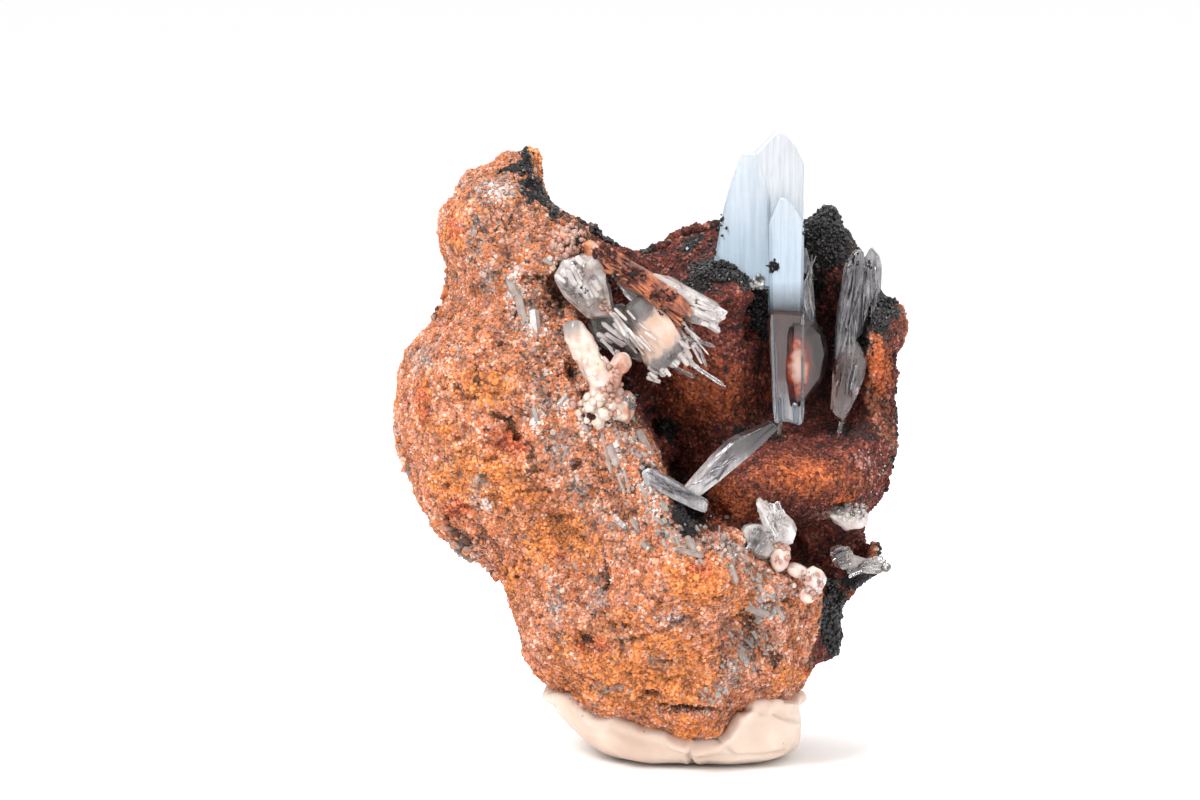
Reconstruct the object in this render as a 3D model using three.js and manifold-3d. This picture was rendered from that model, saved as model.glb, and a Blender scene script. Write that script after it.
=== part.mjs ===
// A barite specimen: blue and clear tabular crystals in an open hollow of iron-oxide rock,
// propped upright on a pad of white mounting putty. Millimetres, +Z up, the viewer looks along +Y.
// The origin is under the middle of the specimen, on the surface that the pad stands on.
import * as THREE from "three";
import { mergeVertices } from "three/addons/utils/BufferGeometryUtils.js";
import Module from "manifold-3d";

const wasm = await Module();
wasm.setup();

// Driving dimensions
const ROCK_GAP = 0.3; // clear space between the rock and each crystal or the pad
const BLADE_BEVEL = 0.22; // chamfer along a tabular crystal's edges
const CELL = { fine: 1.62, coarse: 3.4 }; // grid spacing of the rock in front and behind
const COARSE_BEHIND = 1; // the depth from which the spacing is the coarse one
const ROCK_FOOT = 2.1; // the rock's lowest level, down in the pad
const ROCK_EDGE = 4.5; // how far in from its outline the rock reaches its full depth
const VIEW_DIP = THREE.MathUtils.degToRad(6); // the viewer looks down by this much
const VIEW_RISE = 0.6; // the seen height of the origin over the pad's front foot
const PAD_CELL = 1.9;
const PAD_FOOT_Z = 0; // the pad is pressed flat here

// Smooth random numbers

function lattice(i, j, k) {
  let h = Math.imul(i, 374761393) + Math.imul(j, 668265263) + Math.imul(k, 1274126177);
  h = Math.imul(h ^ (h >>> 13), 1103515245);
  return ((h ^ (h >>> 16)) >>> 0) / 2147483648 - 1;
}

const ease = (t) => t * t * (3 - 2 * t);
const mix = (a, b, t) => a + (b - a) * t;

function noise(x, y, z) {
  const [i, j, k] = [x, y, z].map(Math.floor);
  const [u, v, w] = [ease(x - i), ease(y - j), ease(z - k)];
  const row = (dj, dk) => mix(lattice(i, j + dj, k + dk), lattice(i + 1, j + dj, k + dk), u);
  return mix(mix(row(0, 0), row(1, 0), v), mix(row(0, 1), row(1, 1), v), w);
}

// Fields: negative inside, positive outside, in about millimetres

const union = (a, b, soft) => {
  const h = Math.max(soft - Math.abs(a - b), 0) / soft;
  return Math.min(a, b) - (h * h * soft) / 4;
};
const cut = (a, b, soft) => -union(-a, b, soft);

function ellipsoid(centre, radii) {
  const least = Math.min(...radii);
  return (x, y, z) => {
    const [a, b, c] = [x - centre[0], y - centre[1], z - centre[2]].map((d, i) => d / radii[i]);
    return (Math.hypot(a, b, c) - 1) * least;
  };
}

// Distance to an outline of [x, z] points, negative inside it.
function outlineDistance(points) {
  return (x, z) => {
    let nearest = Infinity;
    let inside = false;
    points.forEach(([ax, az], i) => {
      const [bx, bz] = points[(i + 1) % points.length];
      const [ex, ez] = [bx - ax, bz - az];
      const t = THREE.MathUtils.clamp(((x - ax) * ex + (z - az) * ez) / (ex * ex + ez * ez), 0, 1);
      nearest = Math.min(nearest, Math.hypot(x - ax - t * ex, z - az - t * ez));
      if (az > z !== bz > z && x < ax + ((z - az) / ez) * ex) inside = !inside;
    });
    return inside ? -nearest : nearest;
  };
}

// Adds rounded bumps to a base level; each is [x, z, half width, half height, rise].
function relief(base, bumps, power) {
  return (x, z) =>
    bumps.reduce((sum, [cx, cz, rx, rz, rise]) => {
      const r = Math.hypot((x - cx) / rx, (z - cz) / rz);
      return sum + rise * Math.exp(-(r ** power));
    }, base);
}

// The rock. Its outlines are [across, up] as the viewer sees them.

const seenHeight = (y, z) => z * Math.cos(VIEW_DIP) + y * Math.sin(VIEW_DIP) + VIEW_RISE;
const heightOf = (y, seen) => (seen - VIEW_RISE - y * Math.sin(VIEW_DIP)) / Math.cos(VIEW_DIP);

const ROCK_OUTLINE = [
  [-9.2, 50.2], [-8.4, 49.3], [-8.5, 47.9], [-9.3, 46.9], [-8.1, 45.8], [-7.6, 45.1], [-6.4, 45.0], [-4.5, 44.3],
  [-3.6, 43.0], [-2.7, 41.9], [-0.8, 41.7], [0.0, 43.2], [2.8, 44.4], [5.8, 44.8], [9.6, 43.5], [12.2, 43.6],
  [13.5, 45.6], [15.4, 45.8], [16.1, 43.3], [17.5, 42.3], [18.7, 40.2], [18.9, 38.2], [20.4, 36.6], [20.7, 34.4],
  [19.6, 33.2], [20.0, 31.9], [19.6, 29.3], [20.6, 27.0], [20.6, 25.3], [19.9, 24.0], [19.6, 21.5], [18.8, 20.2],
  [19.0, 16.8], [17.4, 15.0], [15.4, 13.9], [15.4, 11.9], [16.0, 10.0], [15.4, 8.1], [13.2, 8.6], [12.3, 7.1],
  [11.2, 5.3], [7.9, 5.3], [6.8, 3.8], [4.7, 1.9], [2.3, 1.7], [-1.0, 3.4], [-3.6, 4.1], [-5.2, 3.7], [-6.7, 5.6],
  [-9.2, 6.9], [-10.3, 8.6], [-10.8, 11.9], [-12.1, 15.3], [-13.2, 16.4], [-14.8, 16.5], [-15.4, 18.0],
  [-17.9, 20.4], [-19.6, 22.6], [-18.8, 24.0], [-20.3, 25.2], [-20.7, 26.6], [-20.0, 28.4], [-20.2, 30.4],
  [-19.0, 33.5], [-16.3, 35.6], [-16.0, 37.2], [-15.8, 38.4], [-16.5, 40.6], [-16.6, 43.7], [-15.8, 45.4],
  [-14.7, 47.9], [-13.1, 48.4], [-11.9, 47.9], [-11.0, 48.9],
];

// Where the broken shell is open and one looks into its hollow.
const OPENING = [
  [-7.9, 52.0], [-7.9, 45.4], [-6.6, 43.9], [-4.9, 43.5], [-4.5, 42.0], [-6.0, 40.6], [-5.9, 37.4], [-5.8, 35.7],
  [-5.1, 32.8], [-4.0, 30.8], [-2.6, 29.2], [-0.7, 27.9], [0.1, 26.2], [1.3, 24.5], [2.1, 22.2], [2.5, 19.9],
  [4.2, 19.2], [6.8, 19.5], [8.8, 17.9], [10.9, 16.7], [13.6, 15.6], [13.7, 13.4], [13.1, 10.6], [12.9, 8.0],
  [17.5, 8.0], [17.5, 13.2], [17.2, 15.8], [17.9, 18.0], [18.3, 20.4], [19.1, 22.0], [19.6, 25.2], [18.0, 27.6],
  [17.2, 29.6], [17.6, 31.8], [17.2, 34.2], [17.5, 36.6], [19.0, 38.2], [22.0, 38.6], [22.0, 52.0],
];

// Depths, each a base level with bumps; less is nearer to the viewer.
const FACE = relief(-9.0, [
  [2.0, 15.0, 10.0, 10.0, -5.0], // the belly, which comes nearest
  [-13.0, 28.0, 7.5, 8.5, -3.5], // the left-hand lobe
  [-12.5, 44.0, 4.2, 4.2, -1.6], // the upper lobe
  [-14.8, 42.4, 1.7, 1.8, -1.0],
  [-5.8, 42.2, 1.9, 1.7, -2.2], // the pink knob on the rim
  [-8.6, 12.0, 4.2, 4.0, -1.4],
  [2.8, 16.2, 4.2, 3.2, -1.6],
  [10.4, 7.8, 2.4, 2.0, -1.2],
  [2.0, 3.8, 4.0, 2.2, -1.2],
  [-1.2, 24.0, 2.6, 4.0, -1.4], // the pale crest below the cream finger
  [-4.5, 29.5, 2.6, 3.0, -1.2],
  [-13.0, 37.0, 6.5, 1.6, 1.3], // the waist between the lobes
  [-10.4, 27.4, 1.4, 1.2, 1.2],
  [-6.0, 20.0, 4.0, 3.6, 1.1],
  [-5.0, 10.6, 2.0, 1.6, 1.2],
  [7.6, 12.4, 2.2, 2.8, 1.3],
  [4.0, 5.9, 4.4, 0.9, 0.9],
  [19.0, 29.0, 4.5, 11.0, 6.0], // the right-hand rim lies deeper
  [14.5, 10.0, 3.5, 5.5, 4.5],
  [-11.0, 49.0, 3.5, 3.0, 4.0], // the horn
  [6.0, 46.0, 10.0, 8.0, 15.0], // the far wall's top
], 2);
const BACK = relief(13.5, [
  [2.0, 24.0, 10.0, 12.0, 2.2],
  [-15.0, 28.0, 7.5, 12.0, -6.5],
  [-12.0, 46.0, 6.0, 6.0, -6.0],
  [17.0, 12.0, 6.0, 8.0, -4.0],
  [0.0, 2.0, 12.0, 5.0, -4.5],
], 2);
const FLOOR = relief(8.5, [
  [5.0, 32.4, 5.3, 7.8, -10.5], // the middle swelling
  [7.0, 38.6, 3.7, 1.8, -5.0], // its black crest, in front of the blue crystals
  [12.4, 23.4, 7.8, 3.6, -16.5], // the ledge
  [6.9, 21.2, 2.8, 2.3, -9.0], // the ledge's left lobe
  [17.6, 31.0, 2.4, 8.0, -8.0], // the right wall's inner face
  [14.6, 41.6, 3.2, 4.0, -4.5], // the black knob
  [15.2, 16.8, 4.6, 3.0, -5.0], // the dark bay under the ledge
  [15.2, 10.6, 3.0, 4.2, -7.5], // the black spur below it
  [3.4, 20.6, 1.6, 1.8, -4.0], // the black hole at the rim
  [-3.6, 40.0, 3.0, 4.0, -7.0], // the shell behind the left-hand crystals
], 4);

// Undercuts behind the broken rim, as [across, depth, up] of the middle and the radii.
const UNDERCUTS = [
  [[-4.6, 0.0, 34.0], [5.0, 6.0, 6.5]],
  [[2.0, -2.0, 21.5], [3.0, 6.5, 3.2]],
  [[12.0, -2.0, 17.0], [6.0, 6.0, 3.0]],
].map(([centre, radii]) => ellipsoid(centre, radii));

const rockOutline = outlineDistance(ROCK_OUTLINE);
const opening = outlineDistance(OPENING);

function rockField(x, y, z) {
  const up = seenHeight(y, z);
  const [front, back] = [FACE(x, up), BACK(x, up)];
  const half = (back - front) / 2;
  const rim = Math.max(0, 1 + rockOutline(x, up) / ROCK_EDGE);
  const shell = (Math.hypot((y - front - half) / half, rim) - 1) * Math.min(half, ROCK_EDGE);
  const body = cut(shell, z - ROCK_FOOT, 1.5);
  let hollow = Math.max(opening(x, up), (y - FLOOR(x, up)) * 0.6);
  for (const undercut of UNDERCUTS) hollow = union(hollow, undercut(x, y, up), 0.6);
  const rough = 0.45 * noise(x / 6.5, y / 6.5, z / 6.5) + 0.4 * noise(x / 2.7 + 7, y / 2.7, z / 2.7);
  return cut(body, hollow, 0.5) + rough;
}

// The pad: a thumb-pressed roll of putty, higher at its left end, dished where the rock sits in it.

const PAD_OUTLINE = [
  [-8.9, 6.8], [-7.4, 7.1], [-5.0, 6.2], [0.0, 5.6], [6.0, 6.0], [8.4, 6.9], [10.6, 6.6], [12.0, 5.3], [12.5, 3.4],
  [12.0, 1.2], [10.8, -0.4], [9.0, -1.5], [-1.8, -1.5], [-3.6, 0.6], [-5.8, 2.2], [-7.5, 4.2], [-8.7, 5.6],
];
const PAD_MIDDLE = 1.5; // depth of the pad's middle
const PAD_HALF = 7.5;
const PAD_EDGE = 3.0;
const padOutline = outlineDistance(PAD_OUTLINE);

function padField(x, y, z) {
  const rim = Math.max(0, 1 + padOutline(x, seenHeight(y, z)) / PAD_EDGE);
  const roll = (Math.hypot((y - PAD_MIDDLE) / PAD_HALF, rim) - 1) * PAD_EDGE;
  return cut(roll, z - PAD_FOOT_Z, 0.3);
}

// From a field to a closed mesh: one vertex in each grid cell that the surface crosses (surface nets)

function gridLine(from, to, fine, coarse, coarseAfter) {
  const line = [from];
  while (line.at(-1) < to) line.push(line.at(-1) + (line.at(-1) < coarseAfter ? fine : coarse));
  return line;
}

// Fills corners that would leave two sheets of the surface touching along an edge or at a point.
function untangle(value, at, [nx, ny, nz]) {
  const steps = [at(1, 0, 0), at(0, 1, 0), at(0, 0, 1)];
  for (let changed = true; changed; ) {
    changed = false;
    for (let k = 1; k < nz - 2; k++)
      for (let j = 1; j < ny - 2; j++)
        for (let i = 1; i < nx - 2; i++)
          for (const [a, b] of [[0, 1], [0, 2], [1, 2]]) {
            const o = at(i, j, k);
            const corners = [o, o + steps[a], o + steps[a] + steps[b], o + steps[b]];
            const inside = corners.map((c) => value[c] < 0);
            if (inside[0] !== inside[2] || inside[1] !== inside[3] || inside[0] === inside[1]) continue;
            for (const c of corners) if (value[c] >= 0) value[c] = -1e-3;
            changed = true;
          }
  }
}

function meshOfField(field, [xs, ys, zs]) {
  const size = [xs.length, ys.length, zs.length];
  const at = (i, j, k) => i + size[0] * (j + size[1] * k);
  const value = new Float64Array(size[0] * size[1] * size[2]);
  zs.forEach((z, k) => ys.forEach((y, j) => xs.forEach((x, i) => (value[at(i, j, k)] = field(x, y, z)))));
  untangle(value, at, size);

  const corner = [0, 1, 2, 3, 4, 5, 6, 7].map((c) => [c & 1, (c >> 1) & 1, (c >> 2) & 1]);
  const edges = [];
  corner.forEach((_, a) => [1, 2, 4].forEach((bit) => (a & bit ? 0 : edges.push([a, a | bit]))));
  const vertexOf = new Map();
  const positions = [];
  for (let k = 0; k < size[2] - 1; k++)
    for (let j = 0; j < size[1] - 1; j++)
      for (let i = 0; i < size[0] - 1; i++) {
        const sum = [0, 0, 0];
        let crossings = 0;
        const place = ([dx, dy, dz]) => [xs[i + dx], ys[j + dy], zs[k + dz]];
        const sample = ([dx, dy, dz]) => value[at(i + dx, j + dy, k + dz)];
        for (const [a, b] of edges) {
          const [va, vb] = [sample(corner[a]), sample(corner[b])];
          if (va < 0 === vb < 0) continue;
          const [pa, pb] = [place(corner[a]), place(corner[b])];
          const t = THREE.MathUtils.clamp(va / (va - vb), 0.04, 0.96);
          sum.forEach((_, n) => (sum[n] += mix(pa[n], pb[n], t)));
          crossings++;
        }
        if (!crossings) continue;
        vertexOf.set(at(i, j, k), positions.length / 3);
        positions.push(...sum.map((s) => s / crossings));
      }

  const index = [];
  const steps = [at(1, 0, 0), at(0, 1, 0), at(0, 0, 1)];
  const quad = (c, inwards) => {
    const [a, b, d, e] = (inwards ? c : c.toReversed()).map((cell) => vertexOf.get(cell));
    index.push(a, b, d, a, d, e);
  };
  for (let k = 1; k < size[2] - 1; k++)
    for (let j = 1; j < size[1] - 1; j++)
      for (let i = 1; i < size[0] - 1; i++) {
        const o = at(i, j, k);
        steps.forEach((step, axis) => {
          const inside = value[o] < 0;
          if (inside === value[o + step] < 0) return;
          const [u, v] = [steps[(axis + 1) % 3], steps[(axis + 2) % 3]];
          quad([o, o - u, o - u - v, o - v], inside);
        });
      }
  const geometry = new THREE.BufferGeometry();
  geometry.setAttribute("position", new THREE.Float32BufferAttribute(positions, 3));
  geometry.setIndex(index);
  return geometry;
}

// Between three.js geometries and solids that can be joined and cut

function solidOf(geometry) {
  const plain = new THREE.BufferGeometry();
  const source = geometry.index ? geometry.toNonIndexed() : geometry;
  plain.setAttribute("position", source.getAttribute("position"));
  const merged = mergeVertices(plain, 1e-3);
  return new wasm.Manifold(
    new wasm.Mesh({
      numProp: 3,
      vertProperties: merged.getAttribute("position").array,
      triVerts: new Uint32Array(merged.index.array),
    }),
  );
}

function geometryOf(solid) {
  const mesh = solid.getMesh();
  const geometry = new THREE.BufferGeometry();
  geometry.setAttribute("position", new THREE.BufferAttribute(mesh.vertProperties, 3));
  geometry.setIndex(new THREE.BufferAttribute(mesh.triVerts, 1));
  return geometry.toNonIndexed();
}

const largestPiece = (solid) => solid.decompose().sort((a, b) => b.volume() - a.volume())[0];

// Crystal shapes. Each takes grow, the distance by which its skin is moved out, for cutting its socket.

// A tabular crystal: its face is an outline of [across, up] points as seen, its front lies at
// y = front, and lean turns it about its own middle by [about x, about z] degrees.
function plate(outline, front, thickness, lean = [0, 0], bevel = BLADE_BEVEL) {
  return (grow) => {
    const middle = [0, 1].map((n) => outline.reduce((s, p) => s + p[n], 0) / outline.length);
    const shape = new THREE.Shape(outline.map(([x, z]) => new THREE.Vector2(x - middle[0], z - middle[1])));
    const geometry = new THREE.ExtrudeGeometry(shape, {
      depth: thickness - 2 * bevel,
      steps: 1,
      bevelEnabled: true,
      bevelSegments: 1,
      bevelThickness: bevel + grow,
      bevelSize: bevel,
      bevelOffset: grow - bevel,
    });
    geometry.translate(0, 0, bevel - thickness / 2);
    geometry.rotateX(Math.PI / 2);
    geometry.rotateX(THREE.MathUtils.degToRad(lean[0]));
    geometry.rotateZ(THREE.MathUtils.degToRad(lean[1]));
    const depth = front + thickness / 2;
    geometry.translate(middle[0], depth, heightOf(depth, middle[1]));
    return solidOf(geometry);
  };
}

// A rounded lump with flat facets, its middle at [across, depth, up].
function lump(centre, radii, turn = 0, detail = 1) {
  return (grow) => {
    const geometry = new THREE.IcosahedronGeometry(1, detail);
    geometry.scale(...radii.map((r) => r + grow));
    geometry.rotateY(THREE.MathUtils.degToRad(turn));
    geometry.translate(centre[0], centre[1], heightOf(centre[1], centre[2]));
    return solidOf(geometry);
  };
}

// A round-ended rod between two points.
function rod(from, to, radius) {
  return (grow) => {
    const [a, b] = [from, to].map(([x, y, up]) => new THREE.Vector3(x, y, heightOf(y, up)));
    const geometry = new THREE.CapsuleGeometry(radius + grow, a.distanceTo(b), 2, 9);
    const up = new THREE.Vector3(0, 1, 0);
    geometry.applyQuaternion(new THREE.Quaternion().setFromUnitVectors(up, b.clone().sub(a).normalize()));
    geometry.translate(...a.add(b).multiplyScalar(0.5));
    return solidOf(geometry);
  };
}

// The crystals, each cluster being what has grown together

const blueBarite = [
  // the left-hand plate, its top broken off square
  plate([[5.0, 34.5], [5.1, 40.2], [5.9, 44.9], [7.3, 49.3], [8.5, 49.3], [9.6, 45.5], [9.8, 34.5]], 0.2, 1.6, [0, -6]),
  // the tall plate with the blunt peak
  plate(
    [[8.2, 34.5], [8.3, 49.1], [9.0, 49.9], [10.0, 50.9], [10.8, 50.6], [11.6, 49.6], [12.2, 48.4], [12.2, 34.5]],
    0.3, 2.0, [0, 4],
  ),
  // the narrow plate in front of it, and the clear foot that it ends in
  plate([[9.5, 36.0], [9.4, 43.6], [10.3, 45.7], [11.0, 45.4], [12.2, 43.6], [12.1, 36.0]], -1.2, 2.0, [0, 3]),
  plate([[9.3, 35.6], [9.6, 31.5], [9.9, 27.5], [10.8, 27.8], [12.1, 27.3], [12.2, 36.4], [9.6, 36.6]], -2.0, 1.5, [2, 4]),
  // the stained lens-shaped crystal and the clear one at its side
  plate(
    [[10.8, 35.8], [12.6, 36.0], [13.7, 35.0], [14.1, 33.2], [13.7, 31.2], [12.4, 29.4], [11.1, 28.6], [10.6, 31.6]],
    -1.4, 2.2, [0, 10], 0.5,
  ),
  plate([[11.7, 35.0], [11.7, 41.4], [12.3, 41.8], [12.9, 39.6], [13.1, 36.2], [13.6, 34.4]], -0.4, 1.4, [0, 12]),
  // the glassy stub at its foot
  lump([8.4, -0.2, 38.9], [1.1, 1.0, 1.0], 20, 0),
];

const greyBarite = [
  plate(
    [[15.1, 37.2], [15.6, 40.3], [16.3, 41.4], [16.9, 41.4], [17.0, 40.2], [16.6, 36.6], [16.2, 33.4], [15.2, 31.6],
      [14.7, 31.6], [14.8, 35.4]],
    -1.6, 1.4, [0, 8],
  ),
  plate(
    [[16.4, 34.4], [16.4, 39.6], [17.6, 41.7], [18.2, 41.0], [18.5, 40.0], [18.4, 38.2], [17.4, 37.2], [16.9, 34.6]],
    -1.2, 1.6, [0, -6],
  ),
  plate(
    [[15.2, 34.0], [16.4, 34.2], [17.2, 32.6], [17.0, 31.2], [16.2, 29.4], [15.2, 27.6], [14.4, 28.6], [14.6, 32.0]],
    -1.9, 1.2, [0, 14],
  ),
];

const leftBarite = [
  // the grey glassy plate against the rim
  plate([[-7.6, 39.0], [-6.8, 40.5], [-5.0, 40.9], [-3.6, 39.6], [-3.2, 38.0], [-2.9, 36.0], [-4.8, 35.8], [-6.6, 37.4]],
    -9.2, 1.6, [6, -10]),
  // the smoky plate below it
  plate([[-5.2, 36.8], [-2.2, 37.0], [-0.6, 34.8], [0.6, 32.6], [-0.4, 32.4], [-3.0, 33.2], [-4.4, 34.0]],
    -8.3, 1.4, [0, -8]),
  // the thick blade with the cream core
  plate([[-2.2, 36.6], [-0.6, 37.9], [1.0, 36.8], [2.2, 35.0], [2.7, 34.0], [2.3, 33.0], [0.8, 31.4], [-0.2, 31.8],
    [-1.0, 34.0]], -10.2, 2.6, [0, -12], 0.5),
  // the rust-coated blade across it
  plate([[-5.2, 42.0], [-3.0, 41.0], [-0.4, 39.6], [2.4, 37.8], [3.3, 36.6], [2.6, 35.8], [-0.4, 37.2], [-3.0, 38.8],
    [-5.2, 40.6]], -9.4, 1.8, [0, -10], 0.4),
  // the long clear plate that comes out behind it
  plate([[-0.6, 39.4], [1.6, 39.0], [5.7, 36.6], [5.8, 35.6], [5.2, 34.9], [3.6, 34.6], [1.0, 36.2]], -8.4, 1.3, [0, -8]),
  // the small glassy ends under the thick blade
  lump([0.4, -9.0, 31.7], [0.9, 0.9, 1.0], 15, 0),
  lump([1.5, -8.8, 32.2], [0.9, 0.9, 0.9], 40, 0),
];

const creamFinger = [
  rod([-5.9, -11.8, 34.7], [-3.9, -11.8, 30.6], 0.98),
  lump([-2.9, -11.2, 31.4], [0.9, 1.1, 1.9], 25),
  lump([-3.9, -11.8, 29.0], [1.6, 1.4, 1.5], 10),
  lump([-2.2, -11.2, 28.8], [1.0, 1.2, 1.4], 30),
];

const crossedBarite = [
  // the long striated blade out of the black hole, and the short one across it
  plate([[2.6, 22.4], [3.6, 21.9], [7.6, 25.0], [9.6, 27.2], [8.6, 27.9], [6.4, 27.0], [5.2, 25.8]], -12.8, 1.3, [8, 14]),
  plate([[-0.8, 24.0], [-0.2, 24.2], [1.3, 23.5], [4.4, 21.6], [4.3, 20.8], [3.2, 21.1], [1.6, 21.9], [-0.5, 23.0]],
    -13.7, 1.4, [0, -6]),
];

const rimBarite = [
  // the white blocky crystal, the grey one behind it and the pink one below
  plate([[8.1, 22.0], [9.4, 20.9], [10.2, 20.7], [11.3, 19.6], [11.3, 18.7], [10.8, 18.2], [9.6, 17.8], [9.0, 19.0],
    [8.6, 20.2]], -11.4, 2.2, [10, -6], 0.4),
  plate([[7.0, 19.6], [8.1, 19.9], [9.4, 19.4], [9.9, 17.9], [9.0, 17.0], [8.0, 17.2], [7.2, 18.6]], -11.2, 1.5, [0, 10]),
  lump([10.1, -10.9, 17.2], [1.0, 0.9, 1.3], 15),
  // the white lump at the end of the rim
  lump([11.4, -10.9, 16.1], [1.3, 0.9, 0.8], 20),
  lump([12.7, -10.8, 15.2], [1.4, 1.2, 1.6], 20),
];

const ledgeBarite = [
  plate([[14.0, 20.6], [17.1, 20.5], [17.0, 19.8], [15.6, 19.5], [14.7, 19.9]], -6.2, 2.6, [8, 4]),
];

const recessBarite = [
  plate([[14.4, 17.6], [15.2, 17.9], [16.0, 17.5], [16.6, 15.9], [15.0, 16.0], [14.7, 16.4]], -3.0, 1.2, [0, 20]),
  plate([[15.6, 17.3], [17.6, 16.7], [18.6, 16.3], [18.9, 15.9], [18.0, 15.6], [15.6, 15.8]], -2.6, 1.0, [0, 10]),
  lump([18.8, -2.1, 16.1], [0.55, 0.5, 0.5], 10, 0),
];

const clusters = {
  blue_barite: blueBarite,
  grey_barite: greyBarite,
  left_barite: leftBarite,
  cream_finger: creamFinger,
  crossed_barite: crossedBarite,
  rim_barite: rimBarite,
  ledge_barite: ledgeBarite,
  recess_barite: recessBarite,
};

const joined = (parts, grow) => parts.map((part) => part(grow)).reduce((a, b) => a.add(b));

// Materials, one for each kind of surface

const finish = (color, roughness, opacity = 1) =>
  new THREE.MeshStandardMaterial({ color, roughness, metalness: 0, opacity, transparent: opacity < 1 });
const FINISHES = {
  matrix: finish("#a8623c", 0.9),
  putty_pad: finish("#ece5da", 0.6),
  blue_barite: finish("#cfdce6", 0.2, 0.8),
  grey_barite: finish("#a3a1a2", 0.25, 0.6),
  left_barite: finish("#b9aea4", 0.25, 0.6),
  cream_finger: finish("#efdcc8", 0.5),
  crossed_barite: finish("#b5b1af", 0.2, 0.6),
  rim_barite: finish("#e2d8d0", 0.3),
  ledge_barite: finish("#d8d2ce", 0.3),
  recess_barite: finish("#8d8a8c", 0.25, 0.6),
};

// The specimen

const specimen = new THREE.Group();

function addNode(name, solid) {
  const mesh = new THREE.Mesh(geometryOf(solid), FINISHES[name]);
  mesh.geometry.computeVertexNormals();
  mesh.name = name;
  specimen.add(mesh);
}

const rockGrid = [
  gridLine(-24, 24, CELL.fine, CELL.fine, 0),
  gridLine(-20, 20, CELL.fine, CELL.coarse, COARSE_BEHIND),
  gridLine(-3, 52, CELL.fine, CELL.fine, 0),
];
const padGrid = [
  gridLine(-11, 14.5, PAD_CELL, PAD_CELL, 0),
  gridLine(-9, 11, PAD_CELL, PAD_CELL, 0),
  gridLine(-1.5 * PAD_CELL, 9, PAD_CELL, PAD_CELL, 0),
];

let rock = solidOf(meshOfField(rockField, rockGrid));
for (const parts of Object.values(clusters)) rock = rock.subtract(joined(parts, ROCK_GAP));
addNode("matrix", largestPiece(rock));

const dish = solidOf(meshOfField((x, y, z) => rockField(x, y, z) - ROCK_GAP, rockGrid));
addNode("putty_pad", largestPiece(solidOf(meshOfField(padField, padGrid)).subtract(dish)));

for (const [name, parts] of Object.entries(clusters)) addNode(name, joined(parts, 0));

export default specimen;
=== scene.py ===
# %% [markdown]
# # A barite specimen on its putty pad
# Blue and clear barite has grown in a hollow of rusty iron-oxide rock, and a pad of putty holds the
# rock upright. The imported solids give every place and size. This lesson turns them into something
# that looks like stone, crystal and putty. A piece is either a copy of its solid, made finer and
# rougher, or a crystal built again from the same outline with the fine ridges that barite has.

# %% Load the solids
import math

import bmesh
import bpy
import numpy as np
from mathutils import Matrix, Vector
from mathutils.bvhtree import BVHTree


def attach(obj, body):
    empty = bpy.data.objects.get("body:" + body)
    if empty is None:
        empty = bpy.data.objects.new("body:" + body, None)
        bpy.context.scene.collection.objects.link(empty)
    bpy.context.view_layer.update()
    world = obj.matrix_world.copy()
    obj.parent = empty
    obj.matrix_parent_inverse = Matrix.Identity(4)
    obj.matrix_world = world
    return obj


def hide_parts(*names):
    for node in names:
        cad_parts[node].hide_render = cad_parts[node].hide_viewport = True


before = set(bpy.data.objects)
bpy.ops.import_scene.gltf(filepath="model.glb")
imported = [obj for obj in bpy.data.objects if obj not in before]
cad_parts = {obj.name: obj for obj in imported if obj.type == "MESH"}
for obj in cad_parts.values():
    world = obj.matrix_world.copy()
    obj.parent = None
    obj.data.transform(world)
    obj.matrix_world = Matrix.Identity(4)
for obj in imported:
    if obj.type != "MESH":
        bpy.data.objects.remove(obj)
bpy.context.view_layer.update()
MM = 0.001
print("solids:", sorted(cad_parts))

# %% [markdown]
# ## Looking straight and looking down
# The outlines of the solids were drawn as a viewer sees them who looks down by six degrees. Two
# small functions turn a point's height into its seen height and back. All places below are given
# in millimetres as across, depth and up, where up is the seen height.

# %% The viewer's angle
VIEW_DIP = math.radians(6)
VIEW_RISE = 0.6


def seen_height(depth, height):
    return height * math.cos(VIEW_DIP) + depth * math.sin(VIEW_DIP) + VIEW_RISE


def height_of(depth, up):
    return (up - VIEW_RISE - depth * math.sin(VIEW_DIP)) / math.cos(VIEW_DIP)


def place_of(across, depth, up):
    return np.array([across, depth, height_of(depth, up)])


# %% [markdown]
# ## Reading and moving points by the thousand
# Rock is rough at every size, so its points are moved by sums of smooth random numbers. NumPy does
# that for a whole mesh at once, in millimetres, because grains and ridges are easiest to picture
# in them.

# %% Points of a mesh
def read_vectors(mesh, what):
    flat = np.empty(len(mesh.vertices) * 3, np.float32)
    mesh.vertices.foreach_get(what, flat)
    return flat.reshape(-1, 3).astype(float)


def read_points(mesh):
    return read_vectors(mesh, "co") / MM


def write_points(mesh, points):
    mesh.vertices.foreach_set("co", (points * MM).astype(np.float32).ravel())
    mesh.update()


def write_attribute(mesh, name, values):
    data = mesh.attributes.new(name, "FLOAT", "POINT").data
    data.foreach_set("value", np.clip(values, 0, 1).astype(np.float32))


def smoothed(mesh, points, passes):
    """Each point moved to the middle of its neighbours, several times over."""
    ends = np.empty(len(mesh.edges) * 2, np.int32)
    mesh.edges.foreach_get("vertices", ends)
    ends = ends.reshape(-1, 2)
    here, there = np.concatenate([ends[:, 0], ends[:, 1]]), np.concatenate([ends[:, 1], ends[:, 0]])
    count = np.maximum(np.bincount(here, minlength=len(points)), 1)
    for _ in range(passes):
        sums = [np.bincount(here, points[there, axis], len(points)) for axis in range(3)]
        points = np.stack(sums, 1) / count[:, None]
    return points


# %% [markdown]
# A lattice gives every whole place in space a fixed random number, and noise blends the eight
# numbers around a point. It comes out the same on each run, and it can be stretched or summed.

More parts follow.
